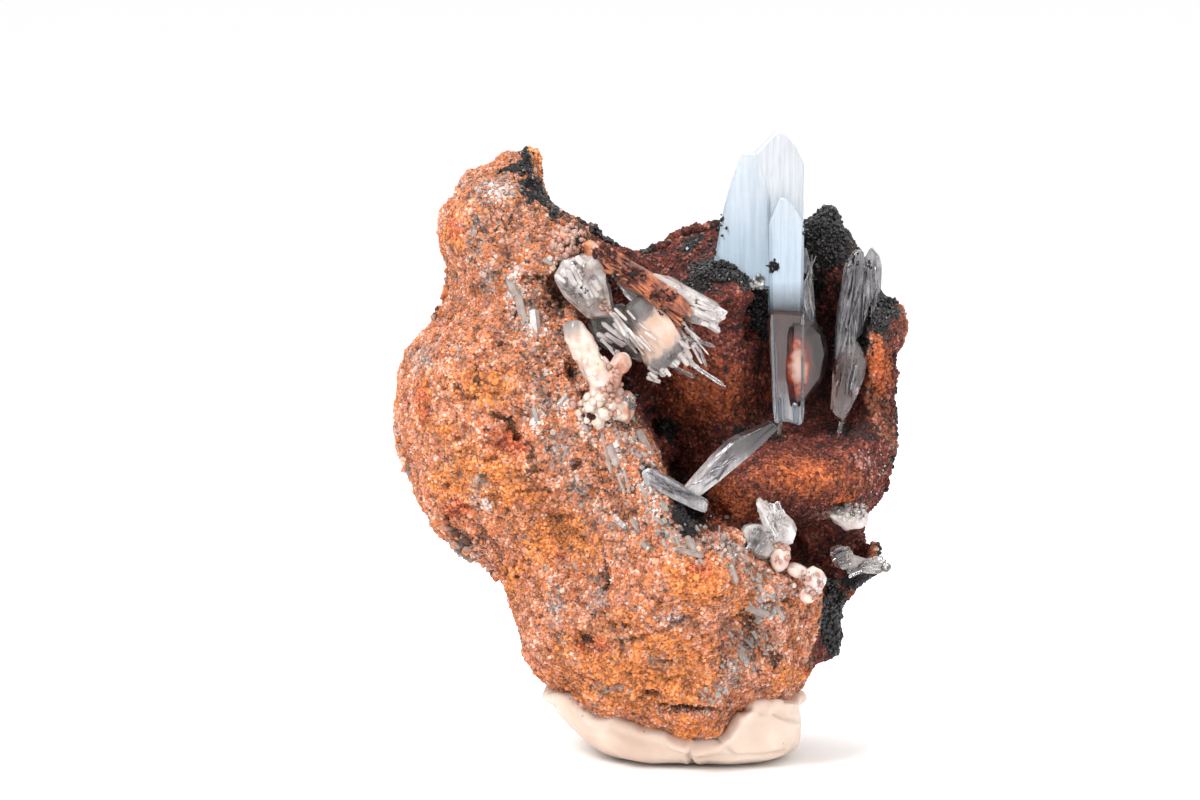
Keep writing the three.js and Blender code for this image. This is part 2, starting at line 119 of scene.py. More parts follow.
# %% Smooth random numbers
def lattice(i, j, k, seed):
    mixed = (i * 374761393 + j * 668265263 + k * 1274126177 + seed * 974634777) & 0xFFFFFFFF
    mixed = ((mixed ^ (mixed >> 13)) * 1103515245) & 0xFFFFFFFF
    return ((mixed ^ (mixed >> 16)) & 0xFFFFFF) / 0x7FFFFF - 1.0


def noise(points, size, seed=0):
    """From -1 to 1, changing over about size millimetres."""
    scaled = points / size
    cell = np.floor(scaled).astype(np.int64)
    t = scaled - cell
    t = t * t * (3 - 2 * t)
    total = np.zeros(len(points))
    for corner in range(8):
        step = np.array([corner & 1, corner >> 1 & 1, corner >> 2])
        weight = np.where(step, t, 1 - t).prod(1)
        total += weight * lattice(*(cell + step).T, seed)
    return total


def fade(values, start, end):
    """0 before start, 1 after end, smooth between; start may be the larger."""
    t = np.clip((values - start) / (end - start), 0, 1)
    return t * t * (3 - 2 * t)


# %% [markdown]
# ## Places on the picture plane
# The colours and dents of the rock follow places: a black crust on the crests, a pale band along
# the broken rim, an orange patch on the belly. Each is a list of soft ovals, or a line with a
# width, in millimetres across and up.

# %% Ovals, lines and outlines
def oval(across, up, spot):
    """1 in the middle of an oval [across, up, half width, half height], falling to 0 outside."""
    r = ((across - spot[0]) / spot[2]) ** 2 + ((up - spot[1]) / spot[3]) ** 2
    return np.exp(-(r**1.5))


def ovals(across, up, spots):
    return np.max([oval(across, up, spot) for spot in spots] + [np.zeros(len(across))], 0)


def line_distance(across, up, line):
    nearest = np.full(len(across), np.inf)
    for (ax, az), (bx, bz) in zip(line, line[1:]):
        ex, ez = bx - ax, bz - az
        t = np.clip(((across - ax) * ex + (up - az) * ez) / (ex * ex + ez * ez), 0, 1)
        nearest = np.minimum(nearest, np.hypot(across - ax - t * ex, up - az - t * ez))
    return nearest


def outline_distance(across, up, outline):
    """Distance to a closed outline, negative inside it."""
    closed = outline + outline[:1]
    inside = np.zeros(len(across), bool)
    for (ax, az), (bx, bz) in zip(closed, closed[1:]):
        if az == bz:
            continue
        crosses = (az > up) != (bz > up)
        inside ^= crosses & (across < ax + (up - az) / (bz - az) * (bx - ax))
    return np.where(inside, -1, 1) * line_distance(across, up, closed)


# %% [markdown]
# ## Materials: colours and one way to add a node
# Colours are picked as sRGB hex values, the way a colour picker shows them, and one function turns
# them to the linear values that the renderer works in. One more function adds any node, sets its
# inputs and links it, so each material below reads as a short list.

# %% Colour and node helpers
def linear(colour):
    parts = [int(colour[i : i + 2], 16) / 255 for i in (1, 3, 5)]
    return tuple(c / 12.92 if c <= 0.04045 else ((c + 0.055) / 1.055) ** 2.4 for c in parts) + (1.0,)


def socket(sockets, key):
    return next(s for s in sockets if key in (s.identifier, s.name))


def add(tree, kind, inputs=(), ramp=(), **settings):
    """Adds a node. An input is a value, a node, or a pair of a node and one of its outputs."""
    made = tree.nodes.new(kind)
    for name, value in settings.items():
        setattr(made, name, value)
    for key, value in dict(inputs).items():
        target = socket(made.inputs, key)
        if isinstance(value, bpy.types.Node):
            tree.links.new(next(o for o in value.outputs if o.enabled), target)
        elif isinstance(value, tuple) and isinstance(value[0], bpy.types.Node):
            tree.links.new(socket(value[0].outputs, value[1]), target)
        else:
            target.default_value = value
    for i, (place, colour) in enumerate(ramp):
        stop = made.color_ramp.elements[i] if i < 2 else made.color_ramp.elements.new(place)
        stop.position, stop.color = place, linear(colour)
    return made


def new_material(name):
    material = bpy.data.materials.new(name)
    material.use_nodes = True
    tree = material.node_tree
    tree.nodes.clear()
    return material, tree, (add(tree, "ShaderNodeTexCoord"), "Object")


def per_mm(size):
    """The texture scale whose pattern repeats over about size millimetres."""
    return 1 / (size * MM)


# %% [markdown]
# ## Iron-oxide rock
# Goethite and hematite make a rusty, sugary rock. Its grains are 0.2 to 0.4 mm across, and each has
# a colour of its own: most are orange, some pinkish, some grey quartz, and a few black or nearly
# white. From far away they blend to a warm tan. So the material gives every grain a random number,
# and a palette turns the number into a colour. A loose grain has its number as an attribute. On
# the skin of the rock the cells of a Voronoi texture play the grains.

# %% Palettes
WALL = [
    (0.0, "#5A3D31"), (0.06, "#7A5A4B"), (0.13, "#957B70"), (0.22, "#A05A38"), (0.38, "#B4693E"),
    (0.56, "#C67A4A"), (0.74, "#BC8069"), (0.9, "#C68E74"), (0.97, "#D0A996"),
]
VELVET = [
    (0.0, "#1A0B09"), (0.14, "#34120E"), (0.32, "#4E1A12"), (0.55, "#642618"), (0.75, "#743220"),
    (0.9, "#824030"), (0.98, "#8E584A"),
]
OUTER_WASHES = [
    # attribute, strength, darkest and lightest colour
    ("rust", 0.85, "#8E4620", "#E08C42"),
    ("ember", 0.95, "#74291A", "#CB6A40"),
    ("grey", 0.85, "#554D4A", "#9F9591"),
    ("pale", 0.85, "#A59A95", "#E3DBD6"),
    ("shade", 0.9, "#24140F", "#4E3227"),
]
HOLLOW_WASHES = [
    ("rust", 0.85, "#642814", "#AC5A2C"),
    ("ember", 0.95, "#80341A", "#C26830"),
    ("pale", 0.7, "#7C5248", "#B48E84"),
    ("shade", 0.9, "#0F0706", "#2A1410"),
]
LEAST_TINT = 0.01  # a lower tint means the skin of the rock, a higher one a loose grain
ROCK_CELL = 0.26  # mm, the grains that the skin shows
ROCK_MARKS = ("rust", "ember", "grey", "pale", "shade", "hollow", "black", "cavity", "tint")


# %% [markdown]
# The material reads the marks of the rock and lays their washes over the palette, grain by grain:
# where a mark is stronger than a grain's second number, that grain takes the wash. So a rusty
# patch has an edge of mixed grains, as it has on the real rock, and no painted outline. To the eye
# the rock is dry and matt, with a faint gleam on its palest grains.

# %% Rock material
def make_rock_material(name):
    material, tree, place = new_material(name)
    marks = {}
    for mark in ROCK_MARKS:
        marks[mark] = (add(tree, "ShaderNodeAttribute", attribute_name=mark), "Fac")
    cells = add(tree, "ShaderNodeTexVoronoi", {"Vector": place, "Scale": per_mm(ROCK_CELL)})
    cell = add(tree, "ShaderNodeSeparateColor", {"Color": (cells, "Color")})
    fine = {"Vector": place, "Scale": per_mm(0.2), "Detail": 4.0, "Roughness": 0.68}
    fine = (add(tree, "ShaderNodeTexNoise", fine), "Fac")
    clouds = {"Vector": place, "Scale": per_mm(1.6), "Detail": 4.0, "Roughness": 0.6}
    clouds = (add(tree, "ShaderNodeTexNoise", clouds), "Fac")

    skin = {"Value": marks["tint"], "Value_001": LEAST_TINT}
    skin = add(tree, "ShaderNodeMath", skin, operation="LESS_THAN")
    loose = add(tree, "ShaderNodeMath", {"Value": marks["tint"], "Value_001": 13.7}, operation="MULTIPLY")
    loose = add(tree, "ShaderNodeMath", {"Value": loose}, operation="FRACT")
    first = {"Factor_Float": skin, "A_Float": marks["tint"], "B_Float": (cell, "Red")}
    first = add(tree, "ShaderNodeMix", first, data_type="FLOAT")
    second = {"Factor_Float": skin, "A_Float": loose, "B_Float": (cell, "Green")}
    second = add(tree, "ShaderNodeMix", second, data_type="FLOAT")
    drift = {"Value": clouds, "From Min": 0.3, "From Max": 0.7, "To Min": -0.2, "To Max": 0.2}
    drift = add(tree, "ShaderNodeMapRange", drift)
    number = add(tree, "ShaderNodeMath", {"Value": first, "Value_001": drift}, operation="ADD")

    def washed(palette, washes):
        colour = add(tree, "ShaderNodeValToRGB", {"Fac": number}, ramp=palette)
        colour.color_ramp.interpolation = "CONSTANT"
        for mark, strength, dark, light in washes:
            ahead = {"Value": marks[mark], "Value_001": second}
            ahead = add(tree, "ShaderNodeMath", ahead, operation="SUBTRACT")
            amount = {"Value": ahead, "From Min": 0.0, "From Max": 0.2, "To Max": strength}
            earth = add(tree, "ShaderNodeValToRGB", {"Fac": first}, ramp=[(0.1, dark), (0.9, light)])
            amount = add(tree, "ShaderNodeMapRange", amount)
            layers = {"Factor_Float": amount, "A_Color": colour, "B_Color": earth}
            colour = add(tree, "ShaderNodeMix", layers, data_type="RGBA")
        return colour

    outer, inner = washed(WALL, OUTER_WASHES), washed(VELVET, HOLLOW_WASHES)
    layers = {"Factor_Float": marks["hollow"], "A_Color": outer, "B_Color": inner}
    colour = add(tree, "ShaderNodeMix", layers, data_type="RGBA")
    ragged = add(tree, "ShaderNodeMapRange", {"Value": clouds, "To Min": -0.5, "To Max": 0.5})
    sooty = {"Value": marks["black"], "Value_001": (ragged, "Result")}
    sooty = add(tree, "ShaderNodeMath", sooty, operation="ADD")
    sooty = add(tree, "ShaderNodeMapRange", {"Value": sooty, "From Min": 0.35, "From Max": 0.5})
    layers = {"Factor_Float": sooty, "A_Color": colour, "B_Color": linear("#161110")}
    colour = add(tree, "ShaderNodeMix", layers, data_type="RGBA")
    # The second tone is painted shade in pits and painted light on crests; the others vary the grains.
    for value, low, high, dark, light in [
        (fine, 0.36, 0.64, 0.8, 1.2), (marks["cavity"], 0.0, 1.0, 0.55, 1.14),
        (clouds, 0.35, 0.65, 0.86, 1.12),
    ]:
        tone = {"Value": value, "From Min": low, "From Max": high, "To Min": dark, "To Max": light}
        tone = add(tree, "ShaderNodeMapRange", tone)
        layers = {"Factor_Float": 1.0, "A_Color": colour, "B_Color": tone}
        colour = add(tree, "ShaderNodeMix", layers, data_type="RGBA", blend_type="MULTIPLY")

    glint = {"Value": first, "From Min": 0.86, "From Max": 0.95, "To Min": 0.85, "To Max": 0.45}
    bump = add(tree, "ShaderNodeBump", {"Height": fine, "Distance": 0.16 * MM, "Strength": 0.9})
    surface = {"Base Color": colour, "Roughness": add(tree, "ShaderNodeMapRange", glint), "Normal": bump}
    add(tree, "ShaderNodeOutputMaterial", {"Surface": add(tree, "ShaderNodeBsdfPrincipled", surface)})
    return material


rock_material = make_rock_material("Iron-oxide rock")
print("material:", rock_material.name)


# %% [markdown]
# ## A finer copy of a solid
# The solids have facets of one to two millimetres. A copy is merged, rounded by one subdivision and
# remeshed into small even triangles, so that it can be roughened. Its object is only scaffolding:
# the finished mesh goes into a new piece.

# %% Copy, remesh, and make a piece
def new_carrier(name, data):
    carrier = bpy.data.objects.new(name, data)
    bpy.context.scene.collection.objects.link(carrier)
    return carrier


def evaluated_mesh(carrier):
    """The mesh with all its modifiers applied; the carrier object is removed."""
    mesh = bpy.data.meshes.new_from_object(carrier.evaluated_get(bpy.context.evaluated_depsgraph_get()))
    bpy.data.objects.remove(carrier)
    return mesh


def finer_copy(node, voxel_mm, smooth=1):
    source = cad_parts[node].data.copy()
    shape = bmesh.new()
    shape.from_mesh(source)
    bmesh.ops.remove_doubles(shape, verts=shape.verts, dist=1e-6)
    shape.to_mesh(source)
    shape.free()
    copy = new_carrier(node + "_copy", source)
    if smooth:
        rounding = copy.modifiers.new("Rounding", "SUBSURF")
        rounding.levels = rounding.render_levels = smooth
    remesh = copy.modifiers.new("Remesh", "REMESH")
    remesh.mode = "VOXEL"
    remesh.voxel_size = voxel_mm * MM
    mesh = evaluated_mesh(copy)
    for layer in [a.name for a in mesh.attributes if a.name.startswith("UV")]:
        mesh.attributes.remove(mesh.attributes[layer])
    return mesh


PIECES = {}


def new_piece(name, mesh, material, smooth=False, stands_for=None):
    piece = PIECES[name] = new_carrier(name, mesh)
    if material is not None:
        mesh.materials.clear()
        mesh.materials.append(material)
    mesh.polygons.foreach_set("use_smooth", [smooth] * len(mesh.polygons))
    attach(piece, "root")
    if stands_for:
        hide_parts(stands_for)
    mesh.calc_loop_triangles()
    print(f"{name}: {len(mesh.loop_triangles)} triangles")
    return piece


# %% [markdown]
# ## Where the rock is dented and cracked
# Noise alone gives a rock that is the same all over. What makes this one itself is placed one by one:
# the orange dent on the left lobe with a crack over it, the porous hollows of the belly, the knobs
# along the foot and the lip under the left lobe.

# %% Dents, knobs and cracks
DENTS = [
    # across, up, half width, half height, how far out (in, when negative)
    (-10.8, 26.2, 1.7, 1.1, -0.8), (-11.4, 29.0, 2.0, 0.7, 0.4), (-5.8, 24.4, 0.5, 0.5, -0.9),
    (-6.0, 31.7, 0.6, 1.0, -1.6), (-4.8, 10.2, 1.8, 0.9, -0.6), (0.0, 6.2, 0.8, 0.4, -0.9),
    (7.2, 11.4, 1.5, 1.7, -0.9), (3.2, 9.4, 1.8, 1.0, -0.5), (3.0, 15.8, 3.4, 1.9, 0.5),
    (-4.0, 5.4, 1.5, 0.9, 0.4), (10.8, 7.4, 1.2, 1.0, 0.5), (3.2, 3.2, 3.0, 0.9, 0.3),
    (-6.4, 41.8, 1.3, 1.3, 0.6), (-7.3, 38.6, 1.3, 0.8, -0.6), (-7.2, 37.0, 1.2, 1.3, -0.8),
    (-15.3, 42.6, 1.1, 1.7, 0.4), (-12.4, 44.8, 1.8, 1.6, 0.3), (-9.6, 35.2, 0.9, 1.8, 0.3),
    (-2.6, 26.0, 1.2, 1.6, 0.35), (-14.6, 33.4, 2.6, 2.0, 0.4), (-17.6, 27.4, 1.8, 3.6, 0.35),
    (-4.6, 20.6, 1.0, 2.2, -0.3), (-8.8, 17.0, 2.2, 1.6, 0.35), (-2.2, 13.4, 2.0, 1.2, 0.3),
]
CRACKS = [
    # line, half width, depth
    ([(-12.2, 28.4), (-11.4, 28.1), (-10.6, 27.2), (-10.2, 26.6)], 0.3, 1.1),
    ([(0.8, 5.3), (2.4, 5.5), (4.0, 5.2), (5.4, 4.9)], 0.2, 0.8),
    ([(-3.6, 17.6), (-3.3, 16.2), (-3.7, 14.6)], 0.22, 0.35),
    ([(-10.0, 38.9), (-9.2, 39.0), (-8.4, 38.9)], 0.16, 0.6),
    ([(-15.6, 20.4), (-13.8, 19.6), (-12.4, 17.6), (-11.4, 15.8)], 0.35, 0.6),
    ([(-1.6, 10.6), (0.6, 11.6), (2.4, 12.4)], 0.2, 0.3),
]
OPENING = [
    (-7.9, 52.0), (-7.9, 45.4), (-6.6, 43.9), (-4.9, 43.5), (-4.5, 42.0), (-6.0, 40.6), (-5.9, 37.4),
    (-5.8, 35.7), (-5.1, 32.8), (-4.0, 30.8), (-2.6, 29.2), (-0.7, 27.9), (0.1, 26.2), (1.3, 24.5),
    (2.1, 22.2), (2.5, 19.9), (4.2, 19.2), (6.8, 19.5), (8.8, 17.9), (10.9, 16.7), (13.6, 15.6),
    (13.7, 13.4), (13.1, 10.6), (12.9, 8.0), (17.5, 8.0), (17.5, 13.2), (17.2, 15.8), (17.9, 18.0),
    (18.3, 20.4), (19.1, 22.0), (19.6, 25.2), (18.0, 27.6), (17.2, 29.6), (17.6, 31.8), (17.2, 34.2),
    (17.5, 36.6), (19.0, 38.2), (22.0, 38.6), (22.0, 52.0),
]


def streaked(points, size, stretch, seed):
    """Noise drawn out along the rock's grain, which runs down to the right."""
    lean = math.radians(26)
    side = points[:, 0] * math.cos(lean) + points[:, 2] * math.sin(lean)
    along = points[:, 2] * math.cos(lean) - points[:, 0] * math.sin(lean)
    return noise(np.stack([side, points[:, 1], along / stretch], 1), size, seed)


def hollow_share(points, normals, ragged=0.0):
    """1 in the open hollow, 0 on the outer wall."""
    across = points[:, 0] + ragged * noise(points, 1.2, 5)
    up = seen_height(points[:, 1], points[:, 2]) + ragged * noise(points, 1.2, 6)
    behind = fade(points[:, 1], 7.0, 9.0) * fade(normals[:, 1], -0.1, 0.35)
    return fade(outline_distance(across, up, OPENING), 0.25, -0.25) * (1 - behind)


# %% [markdown]
# The rock is moved along its normals: broad forms drawn out along its grain, crumbs, the dents and
# cracks from above, and small pits. Sculpting by hand could do it too, but noise and a list of
# places can be read and changed. The far side is smoothed first, so that no facet shows.

# %% Roughen the rock
ROCK_VOXEL = 0.242  # mm
FURTHEST_OUT = 0.45  # mm, so that the rock stays in its solid's box
rock_mesh = finer_copy("matrix", ROCK_VOXEL)
points, normals = read_points(rock_mesh), read_vectors(rock_mesh, "normal")
hollow = hollow_share(points, normals)
across, up = points[:, 0], seen_height(points[:, 1], points[:, 2])
front = fade(normals[:, 1], 0.5, 0.0) * (1 - hollow)

far = (fade(normals[:, 1], 0.25, 0.6) * (1 - hollow))[:, None]
points += far * (smoothed(rock_mesh, points, 24) - points)
forms = 0.36 * streaked(points, 2.6, 1.8, 1) + 0.34 * streaked(points, 1.2, 1.6, 2)
crumbs = 0.16 * noise(points, 0.75, 3) + 0.13 * noise(points, 0.42, 4)
crumbs = crumbs + 0.1 * np.abs(noise(points, 1.0, 13))
move = forms * (1 - 0.4 * hollow) + crumbs * (1 - 0.25 * hollow) - 0.05
for *spot, out in DENTS:
    move += out * oval(across, up, spot) * front
move -= 0.4 * fade(noise(points, 0.8, 15), 0.5, 0.8) * front
for line, half_width, deep in CRACKS:
    off = line_distance(across, up, line) + 0.12 * noise(points, 0.5, 14)
    move -= deep * np.exp(-((off / half_width) ** 2)) * front
write_points(rock_mesh, points + normals * np.minimum(move, FURTHEST_OUT)[:, None])
print("rock roughened by up to", round(float(np.abs(move).max()), 2), "mm")

# %% [markdown]
# The far side needs fewer triangles than the side that is looked at most. A vertex group gives the
# Decimate modifier leave to thin the mesh there alone.

# %% Thin the far side
KEPT_SHARE = 0.57  # of the faces
thinning = new_carrier("thinning", rock_mesh)
far_side = thinning.vertex_groups.new(name="far side")
share_behind = fade(normals[:, 1], 0.25, 0.6) * (1 - hollow)
for level in range(1, 5):
    chosen = np.nonzero(np.ceil(share_behind * 4) == level)[0]
    far_side.add(chosen.tolist(), level / 4, "REPLACE")
thin = thinning.modifiers.new("Thin", "DECIMATE")
thin.ratio = KEPT_SHARE
thin.vertex_group = far_side.name
rock_mesh = evaluated_mesh(thinning)
print("rock mesh thinned to", len(rock_mesh.polygons), "faces")

# %% [markdown]
# ## Where the colours of the rock lie
# Each mark is a list of ovals. A rippled copy of the places gives them ragged edges, and how far a
# point stands out from its surroundings says where shade is painted into pits and light onto crests.

# %% Colour marks
MARKS = {
    "black": [
        (6.6, 39.9, 3.6, 1.2), (3.2, 38.6, 1.6, 0.8), (0.6, 43.4, 1.6, 0.8), (9.0, 43.0, 4.0, 1.6),
        (4.8, 44.0, 1.2, 0.5), (3.6, 42.2, 0.7, 0.5), (18.2, 36.4, 1.4, 1.9), (3.0, 21.0, 1.6, 1.9),
        (14.3, 43.4, 2.6, 2.8), (12.6, 40.0, 1.6, 3.0), (17.4, 39.6, 2.2, 2.6), (16.4, 35.4, 1.0, 2.4),
        (-3.2, 43.4, 1.0, 0.9), (-9.9, 49.2, 0.5, 1.2), (-10.6, 47.8, 1.0, 0.5),
        (-9.6, 46.6, 0.9, 0.7), (-8.7, 45.3, 1.0, 0.7), (-7.6, 44.2, 0.6, 0.8), (8.4, 26.7, 1.7, 0.8),
        (20.6, 25.5, 0.9, 6.5), (14.8, 11.2, 1.3, 3.2), (17.3, 15.2, 2.0, 0.9), (19.4, 18.0, 1.0, 3.0),
        (1.6, 27.2, 1.0, 0.8), (9.2, 36.4, 1.0, 2.0), (-5.9, 41.9, 0.5, 0.5),
    ],
    "rust": [
        (3.4, 15.4, 2.8, 2.2), (-5.2, 10.4, 2.2, 1.4), (-17.8, 29.4, 0.7, 2.0), (-16.2, 27.2, 1.3, 1.0),
        (-15.0, 22.8, 2.2, 1.2), (-15.2, 42.6, 1.3, 1.8), (3.2, 3.6, 2.4, 1.2), (10.6, 7.5, 1.2, 1.0),
        (7.6, 12.8, 1.6, 1.6), (-11.0, 15.2, 0.7, 2.0), (1.0, 10.6, 1.6, 1.4), (-2.6, 12.0, 1.6, 1.2),
        (-9.2, 48.6, 0.9, 1.4), (-1.0, 8.0, 7.0, 3.4), (-13.5, 23.6, 4.2, 2.6), (-7.0, 18.6, 3.4, 2.6),
        (12.0, 23.4, 5.0, 1.8), (7.0, 21.2, 2.0, 1.6), (18.6, 33.0, 0.5, 1.0), (5.8, 21.8, 2.0, 2.2),
        (4.6, 29.8, 3.6, 3.0), (-10.6, 22.0, 2.4, 1.0), (-12.8, 30.6, 2.4, 1.4), (-6.6, 17.8, 2.4, 1.2),
    ],
    "ember": [
        (-10.8, 26.1, 1.9, 1.1), (-17.9, 29.2, 0.5, 1.2), (-15.2, 20.8, 1.2, 0.7), (11.8, 23.6, 2.6, 1.0),
        (15.4, 21.6, 0.8, 0.8), (18.6, 30.9, 0.8, 0.8), (-4.8, 10.3, 1.6, 0.8), (3.6, 16.4, 1.0, 0.8),
        (8.6, 12.9, 0.7, 0.6), (-10.3, 37.0, 0.4, 0.6), (-5.8, 24.5, 0.5, 0.4), (-7.0, 17.1, 0.7, 0.4),
        (10.2, 30.0, 0.8, 1.0), (-2.0, 25.6, 0.3, 0.7), (18.2, 32.4, 0.9, 2.2), (-15.2, 42.8, 0.7, 0.9),
    ],
    "grey": [
        (-12.4, 45.8, 2.4, 1.3), (-13.6, 42.0, 0.8, 2.2), (-12.6, 39.0, 0.7, 1.4), (-9.6, 36.4, 1.2, 2.6),
        (-8.6, 30.0, 1.0, 2.6), (-7.4, 25.8, 1.3, 2.2), (-5.6, 22.6, 1.2, 1.6), (-13.4, 22.6, 0.6, 2.4),
        (-14.6, 17.6, 1.1, 1.1), (-4.2, 14.0, 0.8, 1.4), (-7.6, 13.6, 0.8, 1.6), (1.8, 12.6, 1.2, 0.8),
        (0.4, 9.0, 1.2, 1.0), (-3.0, 7.0, 1.6, 0.7), (6.0, 17.2, 1.4, 1.0), (9.6, 14.6, 1.6, 1.0),
        (-6.4, 41.6, 1.2, 1.2), (-17.8, 32.8, 1.4, 1.4),
    ],
    "pale": [
        (-10.6, 38.2, 0.7, 1.6), (-9.2, 35.2, 0.7, 1.3), (-8.8, 28.2, 0.5, 1.0), (-12.0, 45.4, 0.9, 0.9),
        (-6.8, 40.5, 1.0, 0.5), (1.9, 13.0, 0.6, 0.6), (-2.8, 25.0, 0.7, 1.4), (-1.6, 19.8, 1.0, 0.7),
        (9.4, 12.9, 1.1, 0.6), (-4.9, 26.8, 0.4, 1.6), (-6.6, 28.8, 0.8, 0.8), (14.0, 20.4, 2.4, 0.4),
        (17.2, 24.4, 1.0, 0.8), (-12.9, 21.4, 0.5, 0.7),
    ],
    "shade": [
        (-6.0, 31.7, 0.6, 1.0), (-11.2, 27.8, 0.8, 0.5), (-5.8, 24.3, 0.3, 0.3), (-3.5, 16.2, 0.3, 1.4),
        (7.4, 11.8, 1.0, 1.1), (0.0, 6.2, 0.7, 0.4), (-5.2, 10.5, 0.8, 0.5), (3.0, 5.3, 2.0, 0.25),
        (-7.2, 37.2, 1.2, 1.2), (-9.0, 38.9, 0.7, 0.2), (-14.2, 18.6, 1.4, 0.5), (-12.6, 14.4, 0.4, 1.2),
        (9.4, 9.4, 0.8, 0.9), (16.0, 27.0, 2.4, 1.0), (14.0, 33.0, 2.6, 4.0), (-5.4, 43.6, 2.2, 1.6),
        (-1.4, 27.6, 1.2, 0.7), (-9.6, 24.6, 0.5, 1.6), (-13.4, 30.9, 0.3, 0.3), (-11.6, 33.6, 0.5, 0.3),
    ],
}
PALE_RIM = [
    (-5.4, 37.4), (-4.8, 30.4), (-2.2, 27.2), (-0.2, 24.0), (0.4, 20.4), (1.4, 18.4), (5.2, 18.4),
    (8.2, 16.6), (8.8, 13.6), (8.2, 10.8), (6.4, 8.6), (4.4, 5.4),
]

GREY_BAND = [(-7.6, 34.0, 2.2, 8.0), (-3.4, 21.0, 2.4, 5.0), (-11.0, 44.0, 3.0, 3.4), (8.0, 11.0, 3.0, 3.6)]
RED_RIM = [(19.4, 32.0, 1.8, 8.0)]


def mark_colours(mesh):
    points, normals = read_points(mesh), read_vectors(mesh, "normal")
    across = points[:, 0] + 0.5 * noise(points, 1.4, 5) + 0.3 * noise(points, 0.6, 6)
    up = seen_height(points[:, 1], points[:, 2]) + 0.5 * noise(points, 1.4, 7) + 0.3 * noise(points, 0.6, 8)
    hollow = hollow_share(points, normals, 0.3)
    behind = fade(normals[:, 1], 0.2, 0.6) * (1 - hollow)
    hollow = np.maximum(hollow, ovals(across, up, RED_RIM) * (1 - behind))
    values = {name: ovals(across, up, spots) * (1 - behind) for name, spots in MARKS.items()}
    rim = np.exp(-((line_distance(across, up, PALE_RIM) / 0.8) ** 2)) * (1 - hollow) * (1 - behind)
    streaks = fade(streaked(points, 1.5, 4.0, 31), 0.1, 0.7) * (1 - hollow)
    values["grey"] = np.maximum(np.maximum(values["grey"], 0.9 * rim), 0.4 * streaks)
    band = ovals(across, up, GREY_BAND) * (1 - hollow) * (1 - behind)
    values["grey"] = np.maximum(values["grey"], 0.5 * band)
    browned = 0.32 * band * fade(noise(points, 2.0, 33), -0.6, 0.5)
    values["shade"] = np.maximum(values["shade"], browned)
    values["pale"] = np.maximum(values["pale"], 0.55 * rim * fade(noise(points, 0.9, 32), -0.2, 0.5))
    coating = fade(noise(points, 5.0, 9) + 0.5 * noise(points, 1.6, 10), 0.25, 0.6)
    values["black"] = np.maximum(values["black"], 0.8 * behind * coating)
    right_side = fade(normals[:, 0], 0.55, 0.8) * fade(across, 15.0, 18.0) * fade(up, 31.0, 26.0)
    values["black"] = np.maximum(values["black"], right_side * (1 - hollow))
    values["rust"] = np.maximum(values["rust"], behind * fade(noise(points, 7.0, 11), 0.0, 0.6))
    # Painted shade in pits and painted light on crests, from how far a point stands out.
    stands_out = ((points - smoothed(mesh, points, 6)) * normals).sum(1)
    values["cavity"] = fade(stands_out, -0.17, 0.1)
    values["hollow"] = hollow
    values["tint"] = np.zeros(len(points))
    values["grainy"] = (0.3 + 0.7 * fade(normals[:, 1], 0.6, 0.1)) * (1 - 0.8 * values["black"])
    for name in ("grey", "pale"):
        values[name] = values[name] * 0.72
    for name, value in values.items():
        write_attribute(mesh, name, value)
    print("marks:", {name: round(float(value.mean()), 2) for name, value in values.items()})
    return values


rock_marks = mark_colours(rock_mesh)
new_piece("rock", rock_mesh, rock_material, smooth=True, stands_for="matrix")

# %% [markdown]
# ## Loose grains
# Up close the wall isn't a skin but a crowd of grains. Geometry Nodes scatter small eight-sided
# grains over the rock, more on the side that is looked at. The same tree, with other numbers, makes
# the black druse on the crests. An attribute of the rock sets how dense the grains lie, and each
# grain gets a random tint.

# %% A tree that scatters grains
SCATTER_INPUTS = [
    ("Grains per square millimetre", "NodeSocketFloat"), ("Where", "NodeSocketString"),
    ("Where not", "NodeSocketString"), ("Smallest", "NodeSocketFloat"), ("Largest", "NodeSocketFloat"),
    ("Segments", "NodeSocketInt"), ("Rings", "NodeSocketInt"), ("Seed", "NodeSocketInt"),
    ("Material", "NodeSocketMaterial"),
]


